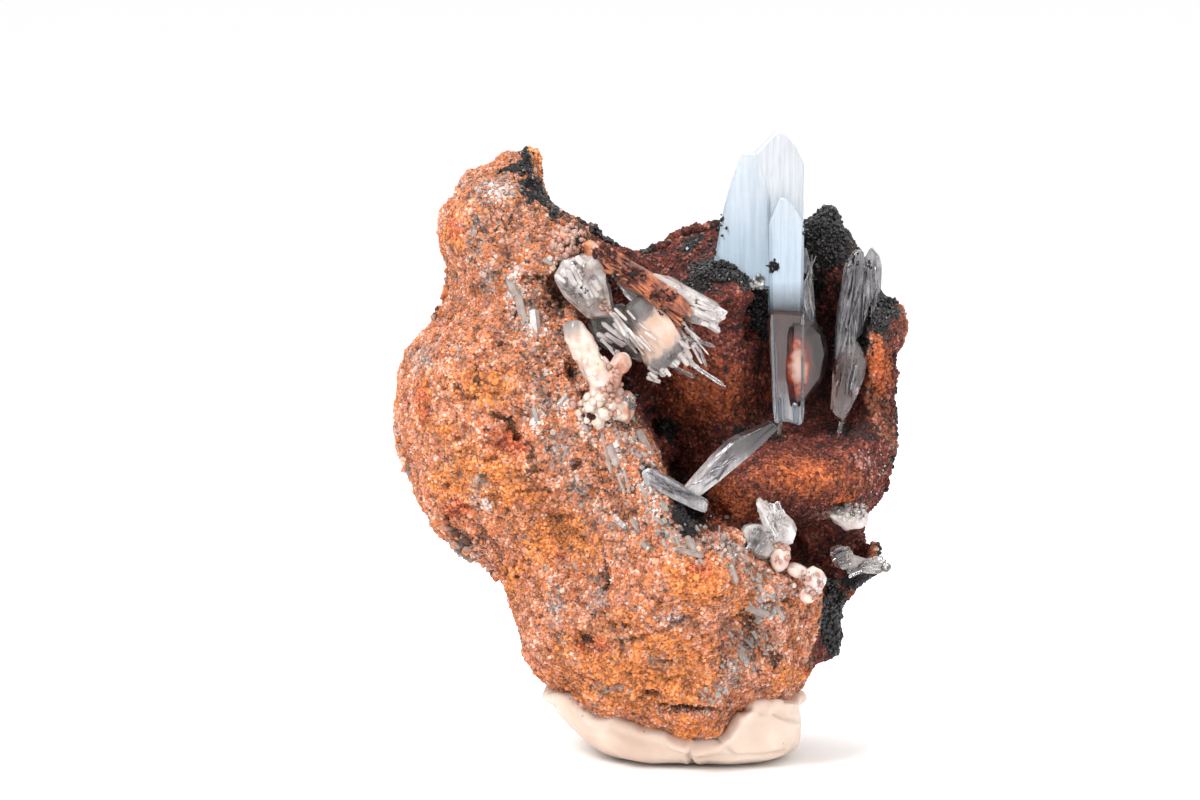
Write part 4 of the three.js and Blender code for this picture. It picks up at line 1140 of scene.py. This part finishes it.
# %% Milky barite material
def make_milky(name, base, stain, tip, clear=0.2):
    material, tree, place = new_material(name)
    stained = (add(tree, "ShaderNodeAttribute", attribute_name="stain"), "Fac")
    tipped = (add(tree, "ShaderNodeAttribute", attribute_name="tip"), "Fac")
    cloud = {"Vector": place, "Scale": per_mm(0.9), "Detail": 5.0, "Roughness": 0.65}
    cloud = (add(tree, "ShaderNodeTexNoise", cloud), "Fac")
    tone = add(tree, "ShaderNodeValToRGB", {"Fac": cloud}, ramp=[(0.36, base[0]), (0.64, base[1])])
    spot = add(tree, "ShaderNodeMath", {"Value": stained, "Value_001": cloud}, operation="MULTIPLY")
    spot = add(tree, "ShaderNodeMapRange", {"Value": spot, "From Min": 0.25, "From Max": 0.5})
    layers = {"Factor_Float": spot, "A_Color": tone, "B_Color": linear(stain)}
    tone = add(tree, "ShaderNodeMix", layers, data_type="RGBA")
    layers = {"Factor_Float": tipped, "A_Color": tone, "B_Color": linear(tip)}
    tone = add(tree, "ShaderNodeMix", layers, data_type="RGBA")
    grit = (add(tree, "ShaderNodeTexNoise", {"Vector": place, "Scale": per_mm(0.25), "Detail": 3.0}), "Fac")
    surface = {
        "Base Color": tone, "Roughness": 0.3, "IOR": BARITE_IOR, "Transmission Weight": clear,
        "Subsurface Weight": 0.3, "Subsurface Scale": 0.5 * MM,
        "Normal": add(tree, "ShaderNodeBump", {"Height": grit, "Distance": 0.06 * MM, "Strength": 0.7}),
    }
    add(tree, "ShaderNodeOutputMaterial", {"Surface": add(tree, "ShaderNodeBsdfPrincipled", surface)})
    return material


shard_milk = make_milky("Milky barite", ("#A3948C", "#C9BDB5"), "#C98B66", "#9D9894", 0.5)
new_piece("rim_shard_band", mesh_of(shards), shard_milk)

# %% [markdown]
# Splinters stick out freely, so they're given by both their ends. The bright edges of the clear
# foot are painted highlights made as splinters: light collects in the edge of a clear plate, and a
# thin whitish rod paints it in at any angle.

# %% Splinters of the left-hand cluster and painted highlights on the clear foot's edges
SPLINTERS = [
    # across, depth, up of one end, then of the other, width
    (1.2, -8.6, 33.5, 5.8, -8.2, 30.5, 0.35), (0.8, -8.8, 34.2, 4.0, -8.6, 31.7, 0.3),
    (3.1, -8.6, 35.3, 4.3, -8.8, 32.0, 0.25), (1.0, -8.4, 32.4, 3.4, -8.8, 31.2, 0.3),
    (2.0, -8.8, 34.6, 5.0, -8.4, 33.6, 0.3), (2.2, -9.2, 33.0, 3.6, -9.3, 33.9, 0.25),
    (10.6, -1.4, 29.0, 10.2, -1.7, 26.3, 0.3), (15.9, -1.5, 30.2, 15.0, -1.7, 26.6, 0.35),
    (9.65, -2.2, 36.2, 9.95, -2.2, 27.7, 0.28), (12.1, -2.1, 36.2, 12.1, -2.1, 27.7, 0.3),
]
# Whitish rods along the clear foot's edges: painted highlights, not crystals.
FOOT_EDGE_HIGHLIGHTS = [
    (9.62, -2.25, 35.8, 9.95, -2.2, 27.7, 0.14), (9.95, -2.3, 34.0, 10.2, -2.3, 28.0, 0.1),
    (12.05, -2.2, 33.0, 12.1, -2.2, 27.7, 0.12),
    (10.6, -2.25, 30.6, 10.7, -2.25, 27.7, 0.22), (11.5, -2.3, 29.2, 11.6, -2.3, 27.5, 0.5),
    (10.3, -2.2, 29.6, 10.35, -2.2, 27.6, 0.3),
]
for name, spots, finish in [
    ("clear_splinters", SPLINTERS, clear_glass),
    ("foot_edge_highlights", FOOT_EDGE_HIGHLIGHTS, narrow_glass),
]:
    splinters = []
    for ax, ay, az, bx, by, bz, width in spots:
        start, end = place_of(ax, ay, az), place_of(bx, by, bz)
        facing = np.array([random.normal(0, 0.5), -1.0, random.normal(0, 0.5)])
        length = np.linalg.norm(end - start)
        splinters.append(shard((start + end) / 2, end - start, facing, length, width, width * 0.6))
    new_piece(name, mesh_of(splinters), finish)

# %% [markdown]
# Most crystals here are broken, and their inside shows as a heap of bright and dark slivers. A sheaf
# of shards, laid side by side with a little disorder, gives the light the same many edges to catch
# on. It also makes the grooves of the striated blades deeper.

# %% Sheaves
def sheaf(name, material, spots, seed):
    random = np.random.default_rng(seed)
    parts = []
    for x, depth, z, half_side, half_along, lean, count, short, long, thin, wide in spots:
        for _ in range(count):
            turn = math.radians(lean)
            step = random.uniform(-1, 1, 2) * (half_side, half_along)
            across = x + step[0] * math.cos(turn) + step[1] * math.sin(turn)
            up = z - step[0] * math.sin(turn) + step[1] * math.cos(turn)
            turn += random.normal(0, 0.18)
            along = np.array([math.sin(turn), random.normal(0, 0.12), math.cos(turn)])
            facing = np.array([random.normal(0, 0.5), -1.0, random.normal(0, 0.5)])
            width = random.uniform(thin, wide)
            middle = place_of(across, depth + random.uniform(-0.3, 0.3), up)
            parts.append(shard(middle, along, facing, random.uniform(short, long), width, width * 0.6))
    return new_piece(name, mesh_of(parts), material)


sheaf("left_slivers", sliver_glass, [
    # across, depth, up, half side, half length, lean, how many, lengths, widths
    (-5.6, -9.6, 38.6, 1.3, 1.5, -30, 18, 0.6, 1.6, 0.2, 0.6),
    (-2.6, -9.0, 34.2, 1.0, 1.5, -50, 14, 0.8, 2.2, 0.2, 0.5),
    (-1.3, -10.1, 34.9, 0.8, 1.7, -38, 16, 0.8, 2.2, 0.15, 0.35),
    (2.0, -9.8, 33.8, 0.5, 1.1, -40, 16, 0.6, 1.8, 0.2, 0.45),
    (0.3, -9.6, 31.8, 0.7, 0.5, -50, 18, 0.4, 1.2, 0.25, 0.5),
    (1.3, -9.6, 32.4, 0.7, 0.5, -50, 12, 0.4, 1.1, 0.25, 0.5),
    (2.5, -9.0, 37.3, 0.75, 2.2, -65, 36, 1.0, 3.0, 0.2, 0.6),
    (4.8, -8.9, 35.9, 0.8, 0.5, -65, 14, 0.6, 1.4, 0.3, 0.6),
    (2.7, -8.8, 33.8, 0.9, 1.2, -35, 22, 0.5, 1.8, 0.15, 0.35),
], 41)
sheaf("rusty_fibres", rust_coat, [(-0.9, -9.7, 38.65, 0.7, 3.7, -52, 150, 0.8, 2.4, 0.14, 0.36)], 42)
sheaf("grey_slivers", grey_glass, [
    (15.9, -1.9, 36.6, 0.45, 2.6, 6, 26, 1.5, 4.0, 0.12, 0.3),
    (17.5, -1.4, 38.0, 0.5, 1.4, 4, 18, 1.0, 3.0, 0.12, 0.3),
    (15.9, -2.1, 31.6, 0.6, 1.4, 10, 8, 1.0, 2.6, 0.1, 0.2),
    (5.0, -13.1, 23.9, 0.4, 1.4, 50, 14, 1.2, 3.0, 0.1, 0.22),
    (1.7, -13.7, 22.6, 0.3, 1.7, -62, 16, 1.2, 2.6, 0.12, 0.3),
    (12.6, -0.5, 37.8, 0.3, 2.4, 8, 12, 1.5, 3.5, 0.12, 0.3),
], 43)
sheaf("rim_slivers", clear_glass, [
    (9.7, -11.8, 20.0, 0.7, 1.0, -30, 8, 0.6, 1.5, 0.3, 0.6),
    (8.4, -11.6, 18.6, 0.6, 0.8, 20, 12, 0.5, 1.3, 0.3, 0.6),
    (15.4, -3.2, 16.8, 0.6, 0.5, 70, 10, 0.6, 1.4, 0.2, 0.5),
    (17.3, -2.8, 16.2, 0.4, 1.1, 70, 12, 0.6, 1.6, 0.2, 0.5),
], 44)

# %% [markdown]
# ## Lumpy barite
# The cream finger and the crust under the ledge are rounded or sugary. Copies of their solids,
# remeshed at 0.13 mm and roughened, keep their places. Their colours change along the piece, so
# ovals on the picture plane mark where it is cream, pink or grey.

# %% Rough copies
LUMP_VOXEL = 0.13  # mm


def lumpy(name, node, material, rough=0.12, stains=(), tips=(), smooth=1):
    mesh = finer_copy(node, LUMP_VOXEL, smooth)
    points, normals = read_points(mesh), read_vectors(mesh, "normal")
    up = seen_height(points[:, 1], points[:, 2])
    move = rough * (noise(points, 1.1, 61) + 0.8 * noise(points, 0.5, 62)) + 0.05
    write_points(mesh, points + normals * move[:, None])
    write_attribute(mesh, "stain", ovals(points[:, 0], up, stains))
    write_attribute(mesh, "tip", ovals(points[:, 0], up, tips))
    return new_piece(name, mesh, material, smooth=True, stands_for=node)


cream = make_milky("Cream barite", ("#E0D2C8", "#C6A590"), "#B4755A", "#7C7674", 0.15)
cream_stains = [
    (-2.4, 31.2, 1.3, 2.2), (-1.6, 28.6, 0.9, 1.0), (-6.0, 28.4, 0.8, 0.9), (-4.2, 27.4, 1.6, 0.6)
]
lumpy(
    "cream_finger_piece", "cream_finger", cream, 0.2, cream_stains, [(-6.4, 35.6, 1.2, 1.2)]
)
white = make_milky("White barite", ("#E0D8D4", "#BBAEA8"), "#B98773", "#7F7B7B", 0.3)
lumpy("ledge_crust", "ledge_barite", white, 0.2, smooth=0)

# %% [markdown]
# ## Faceted lumps
# Small stout crystals look like pebbles with flat faces. A sphere of eighty triangles, pushed in
# and out at random and left unsmoothed, gives that at once.

# %% Lumps
def lump(across, depth, up, radii, turn=0, seed=1):
    """Corner points and faces of one faceted lump."""
    shape = bmesh.new()
    bmesh.ops.create_icosphere(shape, subdivisions=2, radius=1.0)
    points = np.array([v.co for v in shape.verts])
    faces = [tuple(v.index for v in f.verts) for f in shape.faces]
    shape.free()
    points *= (1 + 0.22 * noise(points + seed * 3.1, 0.9, seed))[:, None]
    turned = np.array(Matrix.Rotation(math.radians(turn), 3, "Y"))
    return (points * np.array(radii)) @ turned.T + place_of(across, depth, up), faces


white_block = plate(
    [(8.1, 22.0), (9.4, 20.9), (10.2, 20.7), (11.3, 19.6), (11.3, 18.7), (10.8, 18.2), (9.6, 17.8),
     (9.0, 19.0), (8.6, 20.2)], -11.4, 2.2, (10, -6), 0.4, -30, 0.8, 0.08, 71,
)
block_ramp = [(0.36, "#C9C2C0"), (0.64, "#EFEAE8")]
block_glass = make_barite("White barite block", block_ramp, 0.35, 0.12, -30, 0.5, 0.92, 0.35)
new_piece("rim_white_block", white_block, block_glass, stands_for="rim_barite")
grey_block = plate(
    [(7.0, 19.6), (8.1, 19.9), (9.4, 19.4), (9.9, 17.9), (9.0, 17.0), (8.0, 17.2), (7.2, 18.6)],
    -11.2, 1.5, (0, 10), 0.3, 20, 0.7, 0.08, 72,
)
new_piece("rim_grey_block", grey_block, left_glass)
end_lumps = [
    lump(11.4, -10.7, 16.1, (1.0, 0.7, 0.6), 20, 12), lump(12.7, -10.8, 15.4, (1.0, 0.9, 1.1), 20, 13),
    lump(12.2, -10.9, 14.2, (0.7, 0.6, 0.6), 60, 14), lump(10.1, -10.9, 17.2, (0.8, 0.7, 1.1), 15, 2),
]
blush = make_milky("Blush barite", ("#E6D4CC", "#C8A596"), "#B98773", "#8F7B74", 0.2)
new_piece("end_lumps", mesh_of(end_lumps), blush, smooth=True)
ridge = mesh_of(
    [lump(-3.3, -11.2, 31.4, (0.5, 0.6, 1.5), -14, 3), lump(-2.6, -11.1, 29.6, (0.6, 0.6, 1.1), -20, 4)]
)
new_piece("cream_ridge", ridge, blush, smooth=True)

# %% [markdown]
# Two plates and a droplet of clear barite grow under the ledge. They're made as the others are.

# %% Crystals in the bay
BAY = {
    "bay_left_plate": (
        [(14.4, 17.6), (15.2, 17.9), (16.0, 17.5), (16.6, 15.9), (15.0, 16.0), (14.7, 16.4)], -3.0, 1.2, 20,
    ),
    "bay_right_plate": (
        [(15.6, 17.3), (17.6, 16.7), (18.6, 16.3), (18.9, 15.9), (18.0, 15.6), (15.6, 15.8)], -2.6, 1.0, 10,
    ),
}
for i, (name, (outline, front_at, thick, swing)) in enumerate(BAY.items()):
    blade = plate(outline, front_at, thick, (0, swing), 0.14, 70, 0.3, 0.1, 80 + i)
    new_piece(name, blade, left_glass, stands_for=None if i else "recess_barite")
droplet = [
    lump(18.8, -2.1, 16.1, (0.5, 0.45, 0.42), 10, 17), lump(18.2, -2.2, 15.9, (0.4, 0.4, 0.35), 0, 18)
]
new_piece("bay_droplet", mesh_of(droplet), clear_glass)

# %% [markdown]
# ## Crusts
# Where crystals are too small to name one by one they form crusts: black manganese druse on the
# crests, rose and clear barite beside the cream finger, white sugar at the end of the rim, and rusty
# crumbs that hang on the edge of the left lobe. Each crust is a crowd of twenty-sided pebbles inside
# soft ovals, set on whatever a viewer sees there. A rusty crumb takes the colour marks of the rock
# that it sits on.

# %% A crust of pebbles
ball = bmesh.new()
bmesh.ops.create_icosphere(ball, subdivisions=1, radius=1.0)
ball.verts.index_update()
PEBBLE_POINTS = np.array([v.co for v in ball.verts])
PEBBLE_FACES = [tuple(v.index for v in f.verts) for f in ball.faces]
ball.free()


def turned_at_random(random):
    q = random.normal(0, 1, 4)
    w, x, y, z = q / np.linalg.norm(q)
    return np.array([
        [1 - 2 * (y * y + z * z), 2 * (x * y - z * w), 2 * (x * z + y * w)],
        [2 * (x * y + z * w), 1 - 2 * (x * x + z * z), 2 * (y * z - x * w)],
        [2 * (x * z - y * w), 2 * (y * z + x * w), 1 - 2 * (x * x + y * y)],
    ])


def crust(name, material, tree, spots, seed, smooth=False):
    """Each spot is across, up, half width, half height, how many, smallest and largest size."""
    random = np.random.default_rng(seed)
    parts, under = [], []
    for x, z, half_x, half_z, count, small, large in spots:
        for _ in range(count):
            angle, reach = random.uniform(0, math.tau), math.sqrt(random.uniform(0, 1))
            across, up = x + half_x * reach * math.cos(angle), z + half_z * reach * math.sin(angle)
            point, facing, face = seen_at(tree, across, up)
            radius = random.uniform(small, large) / 2
            shape = PEBBLE_POINTS * random.uniform(0.75, 1.2, (12, 1)) * (1, 0.8, random.uniform(0.7, 1.2))
            middle = point + facing * radius * 0.4
            parts.append((shape * radius @ turned_at_random(random) + middle, PEBBLE_FACES))
            under.append(rock_mesh.polygons[face].vertices[0] if face < len(rock_mesh.polygons) else -1)
    mesh = mesh_of(parts)
    under = np.array(under)
    for mark in ROCK_MARKS:
        elsewhere = 1 if mark == "hollow" else 0
        write_attribute(mesh, mark, np.repeat(np.where(under < 0, elsewhere, rock_marks[mark][under]), 12))
    tints = np.repeat(random.uniform(0.02, 1, len(parts)), 12)
    mesh.attributes["tint"].data.foreach_set("value", tints.astype(np.float32))
    return new_piece(name, mesh, material, smooth)


# %% [markdown]
# Each line below is one soft oval with its number of pebbles. The lines are in the order in which
# the eye meets them: black crests, rusty crumbs, then the pale crusts.

# %% Crusts
FRONT = [
    "rock", "cream_finger_piece", "rim_white_block", "rim_grey_block", "end_lumps", "left_grey_plate",
    "left_upper_plate", "rusty_blade", "rusty_fibres", "blue_left_plate", "blue_narrow_plate",
    "ledge_crust", "cream_blade",
]
front_tree = tree_of(FRONT)
crust("black_crust", druse_material, front_tree, [
    (5.2, 39.7, 1.9, 0.9, 300, 0.2, 0.46), (7.4, 38.8, 0.5, 0.7, 50, 0.2, 0.4),
    (8.6, 36.2, 0.7, 1.6, 90, 0.2, 0.5),
    (14.0, 42.6, 2.0, 2.6, 320, 0.2, 0.5), (18.6, 36.9, 1.3, 1.5, 200, 0.2, 0.5),
    (14.6, 12.2, 0.9, 3.2, 150, 0.2, 0.55),
    (0.6, 43.3, 1.6, 0.6, 130, 0.22, 0.5), (4.9, 43.9, 1.0, 0.4, 70, 0.22, 0.5),
    (-4.2, 43.6, 1.4, 1.0, 34, 0.3, 0.7), (2.6, 44.0, 2.4, 0.3, 50, 0.3, 0.7),
    (-3.0, 38.7, 0.5, 0.7, 26, 0.2, 0.4), (-6.2, 42.4, 0.8, 0.5, 16, 0.16, 0.3),
    (16.8, 33.6, 0.5, 1.5, 40, 0.25, 0.5),
], 51)
crust("rusty_crumbs", rock_material, front_tree, [
    (-3.6, 40.8, 1.0, 0.6, 50, 0.2, 0.45), (-1.4, 39.1, 1.2, 0.6, 50, 0.2, 0.45),
    (0.9, 37.6, 1.2, 0.5, 44, 0.2, 0.4),
    (-19.5, 24.4, 0.5, 1.4, 16, 0.4, 0.8), (-16.6, 19.2, 1.6, 0.8, 26, 0.4, 0.9),
    (-14.6, 17.6, 1.2, 0.9, 26, 0.4, 0.9),
    (-12.9, 15.7, 1.0, 0.8, 22, 0.4, 0.9), (19.2, 30.2, 0.8, 3.6, 150, 0.22, 0.5),
    (2.8, 43.9, 2.8, 0.45, 170, 0.35, 0.95), (19.6, 24.0, 0.6, 2.0, 60, 0.25, 0.6),
    (-4.6, 27.6, 1.6, 0.8, 30, 0.3, 0.7), (-17.4, 38.0, 0.8, 3.0, 20, 0.35, 0.8),
    (-6.6, 5.4, 1.4, 1.2, 30, 0.3, 0.8),
    (12.4, 8.4, 1.2, 1.6, 30, 0.3, 0.7), (-6.4, 43.0, 1.6, 1.2, 50, 0.3, 0.7),
], 52)
rose = make_milky("Rose barite", ("#CFA08C", "#B98876"), "#B98773", "#9A8A84", 0.4)
crust("rose_crust", rose, front_tree, [
    (-6.5, 41.8, 1.2, 1.3, 60, 0.35, 0.8), (-3.1, 30.0, 0.7, 2.2, 34, 0.35, 0.8),
    (10.2, 17.3, 0.7, 1.0, 12, 0.3, 0.6),
    (-3.5, 36.5, 1.1, 0.6, 10, 0.3, 0.6), (-5.4, 28.9, 0.9, 0.9, 8, 0.4, 0.8),
    (12.3, 15.2, 1.2, 1.4, 16, 0.3, 0.7),
], 53, smooth=True)
crust("cream_crust", cream, front_tree, [
    (-4.0, 28.7, 1.9, 1.1, 30, 0.5, 1.1), (-4.4, 32.4, 0.9, 1.6, 6, 0.3, 0.6),
], 54, smooth=True)
crust("clear_crust", clear_glass, front_tree, [
    (-1.7, 30.0, 0.7, 1.2, 34, 0.3, 0.65), (8.5, 38.9, 0.6, 0.6, 14, 0.3, 0.6),
    (-5.6, 38.6, 1.2, 1.6, 24, 0.25, 0.6),
    (12.6, 15.0, 1.2, 1.4, 8, 0.25, 0.5), (16.0, 20.9, 1.5, 0.4, 30, 0.2, 0.5),
    (15.8, 20.4, 1.3, 0.5, 20, 0.2, 0.4),
], 55)
crust("white_crust", white, front_tree, [
    (12.3, 15.0, 1.3, 1.5, 16, 0.25, 0.6), (16.0, 20.9, 1.6, 0.4, 46, 0.2, 0.5),
    (17.9, 23.8, 1.0, 2.0, 26, 0.12, 0.24),
    (15.8, 20.4, 1.3, 0.5, 40, 0.2, 0.42),
    (8.6, 21.0, 0.6, 1.0, 14, 0.2, 0.4), (8.5, 38.9, 0.6, 0.6, 26, 0.25, 0.55),
    (9.8, 19.4, 0.9, 1.0, 26, 0.25, 0.6),
], 56)

# %% [markdown]
# ## Specks
# Tiny black crystals of manganese oxide sit on the blue and grey blades. A speck is a small
# eight-sided grain, and each group of them is placed in a soft cloud.

# %% Black specks
SPECKS = [
    # across, depth, up, half width, half height, how many, size in mm
    (9.85, -1.25, 40.1, 0.32, 0.3, 60, 0.22), (9.3, 0.25, 42.6, 0.05, 0.05, 1, 0.25),
    (6.1, 0.1, 43.2, 0.08, 0.08, 2, 0.28), (5.6, 0.15, 43.6, 0.15, 0.8, 6, 0.22),
    (5.2, 0.1, 41.0, 0.15, 0.6, 5, 0.22), (12.6, -0.5, 39.3, 0.45, 0.25, 25, 0.2),
    (16.2, -1.6, 40.4, 0.5, 0.7, 26, 0.2), (17.4, -1.2, 39.9, 0.15, 0.8, 14, 0.2),
    (17.9, -1.2, 38.1, 0.15, 0.15, 4, 0.2), (16.1, -1.7, 37.2, 0.4, 0.8, 10, 0.16),
    (15.8, -1.8, 34.2, 0.4, 1.2, 12, 0.16), (-5.2, -9.9, 38.0, 0.3, 0.3, 5, 0.2),
    (0.9, -10.3, 36.4, 0.5, 0.3, 14, 0.2), (2.2, -9.6, 35.6, 0.5, 0.4, 16, 0.22),
    (12.0, -11.3, 15.6, 0.4, 0.3, 6, 0.18),
]


def speck(middle, size):
    section = [(1, 0, 0), (0, 1, 0), (-1, 0, 0), (0, -1, 0), (0, 0, 1), (0, 0, -1)]
    corners = [middle + np.array(s) * size / 2 * random.uniform(0.7, 1.3) for s in section]
    faces = [(0, 1, 4), (1, 2, 4), (2, 3, 4), (3, 0, 4), (1, 0, 5), (2, 1, 5), (3, 2, 5), (0, 3, 5)]
    return corners, faces


specks = []
for x, y, z, half_x, half_z, count, size in SPECKS:
    for _ in range(count):
        middle = place_of(x + random.normal(0, half_x / 1.5), y, z + random.normal(0, half_z / 1.5))
        specks.append(speck(middle, size * random.uniform(0.6, 1.4)))
speck_mesh = mesh_of(specks)
write_attribute(speck_mesh, "tint", np.full(len(speck_mesh.vertices), 0.4))
new_piece("black_specks", speck_mesh, druse_material)

# %% [markdown]
# ## Putty
# The pad is mineral putty: off-white, satin, with soft edges where a thumb pressed it and creases
# where it was folded. A remeshed copy of its solid is smoothed, pressed up against the rock so that
# no slit shows, and creased along a few lines.

# %% Putty pad
CREASES = [
    # line, half width, depth
    ([(3.2, 1.9), (3.0, 1.4), (3.2, 0.8), (3.7, 0.1)], 0.13, 0.4),
    ([(3.9, 1.2), (6.0, 1.25), (9.2, 1.2), (10.6, 1.5)], 0.1, 0.28),
    ([(4.4, 3.0), (5.2, 2.6), (6.4, 1.5)], 0.16, 0.3),
    ([(7.0, 4.6), (9.4, 4.8), (11.4, 3.8)], 0.14, 0.35),
    ([(9.2, 5.2), (10.8, 5.0), (11.9, 3.6)], 0.12, 0.25),
    ([(-4.6, 5.4), (-3.8, 4.6)], 0.2, 0.2),
]
PUTTY_VOXEL, FLAT_FOOT = 0.2, 0.25  # mm
REACH = 1.2  # mm, the widest slit that the putty is pressed shut over
putty_mesh = finer_copy("putty_pad", PUTTY_VOXEL)
points, normals = read_points(putty_mesh), read_vectors(putty_mesh, "normal")
across, up = points[:, 0], seen_height(points[:, 1], points[:, 2])
move = 0.12 * noise(points, 3.0, 71) + 0.05 * noise(points, 1.2, 72)
facing = fade(normals[:, 1], 0.3, -0.2)
for line, half_width, deep in CREASES:
    off = line_distance(across, up, line)
    swell = 0.3 * deep * np.exp(-(((off - 3.2 * half_width) / (2 * half_width)) ** 2))
    move += facing * (swell - deep * np.exp(-((off / half_width) ** 2)))
gap = [rock_tree.find_nearest(Vector(p * MM), REACH * MM)[3] or REACH * MM for p in points]
gap = np.array(gap) / MM
move += fade(gap, REACH, 0.7) * (gap + 0.15)
points = points + normals * np.where(points[:, 2] < FLAT_FOOT, 0, move)[:, None]
points[:, 2] = np.maximum(points[:, 2], 0)
write_points(putty_mesh, points)


def make_putty():
    material, tree, place = new_material("Mineral putty")
    cloud = (add(tree, "ShaderNodeTexNoise", {"Vector": place, "Scale": per_mm(5.0), "Detail": 3.0}), "Fac")
    tone = add(tree, "ShaderNodeValToRGB", {"Fac": cloud}, ramp=[(0.38, "#CDB5A4"), (0.62, "#DCCABB")])
    crumbs = add(tree, "ShaderNodeTexVoronoi", {"Vector": place, "Scale": per_mm(1.3)})
    crumb = {"Value": (crumbs, "Distance"), "From Min": 0.09, "From Max": 0.05, "To Max": 0.6}
    layers = {
        "Factor_Float": add(tree, "ShaderNodeMapRange", crumb), "A_Color": tone,
        "B_Color": linear("#A8694A")
    }
    tone = add(tree, "ShaderNodeMix", layers, data_type="RGBA")
    skin = (add(tree, "ShaderNodeTexNoise", {"Vector": place, "Scale": per_mm(0.5), "Detail": 4.0}), "Fac")
    surface = {
        "Base Color": tone, "Roughness": 0.5, "Subsurface Weight": 0.25, "Subsurface Scale": 0.8 * MM,
        "Normal": add(tree, "ShaderNodeBump", {"Height": skin, "Distance": 0.05 * MM, "Strength": 0.35}),
    }
    add(tree, "ShaderNodeOutputMaterial", {"Surface": add(tree, "ShaderNodeBsdfPrincipled", surface)})
    return material


new_piece("putty", putty_mesh, make_putty(), smooth=True, stands_for="putty_pad")

# %% [markdown]
# ## Floor, light and camera
# The specimen stands on a white table under soft light. The floor is one large sheet, and the world
# is white too, so the two melt together as in a light tent. A broad light from the upper left in
# front shapes the rock, and a weaker one from the right lifts its shadows.

# %% Floor
FAR = 6.0
floor_mesh = bpy.data.meshes.new("floor")
floor_mesh.from_pydata([(-FAR, -FAR, 0), (FAR, -FAR, 0), (FAR, FAR, 0), (-FAR, FAR, 0)], [], [(0, 1, 2, 3)])
floor = new_carrier("floor", floor_mesh)
paper, tree, _ = new_material("White paper")
sheet = {"Base Color": linear("#FCFCFC"), "Roughness": 0.9, "Specular IOR Level": 0.1}
add(tree, "ShaderNodeOutputMaterial", {"Surface": add(tree, "ShaderNodeBsdfPrincipled", sheet)})
floor_mesh.materials.append(paper)

# %% [markdown]
# The world lights everything evenly. Three soft lamps add shape: the key gives the wall its
# small shadows, the fill keeps the hollow readable, and the top one draws the crests.

# %% Light
world = bpy.data.worlds.new("Light tent")
world.use_nodes = True
world.node_tree.nodes["Background"].inputs["Color"].default_value = (1, 1, 1, 1)
world.node_tree.nodes["Background"].inputs["Strength"].default_value = 1.02
bpy.context.scene.world = world


def softbox(name, place, size, power):
    light = bpy.data.lights.new(name, "AREA")
    light.size, light.energy = size, power
    lamp = new_carrier(name, light)
    lamp.location = place
    lamp.rotation_mode = "QUATERNION"
    lamp.rotation_quaternion = (Vector((0, 0, 0.025)) - Vector(place)).to_track_quat("-Z", "Y")


softbox("Key", (-0.22, -0.3, 0.42), 0.2, 3.0)
softbox("Fill", (0.38, -0.32, 0.2), 0.3, 0.5)
softbox("Top", (0.0, 0.12, 0.5), 0.3, 1.2)

# %% [markdown]
# The photograph looks at the specimen from the front and a little from above, with a long lens.
# The camera stands 367 mm away and sees a width of 96 mm.

# %% Camera
distance, frame_width = 0.367, 0.096
camera = bpy.data.cameras.new("Camera")
camera.sensor_width = 36
camera.lens = camera.sensor_width * distance / frame_width
camera.clip_start, camera.clip_end = 0.01, 20
viewer = new_carrier("Camera", camera)
viewer.location = Vector((-4.0, 0, 29.0)) * MM - LOOK * distance
viewer.rotation_mode = "QUATERNION"
viewer.rotation_quaternion = LOOK.to_track_quat("-Z", "Y")
bpy.context.scene.camera = viewer
bpy.context.scene.view_settings.view_transform = "Standard"
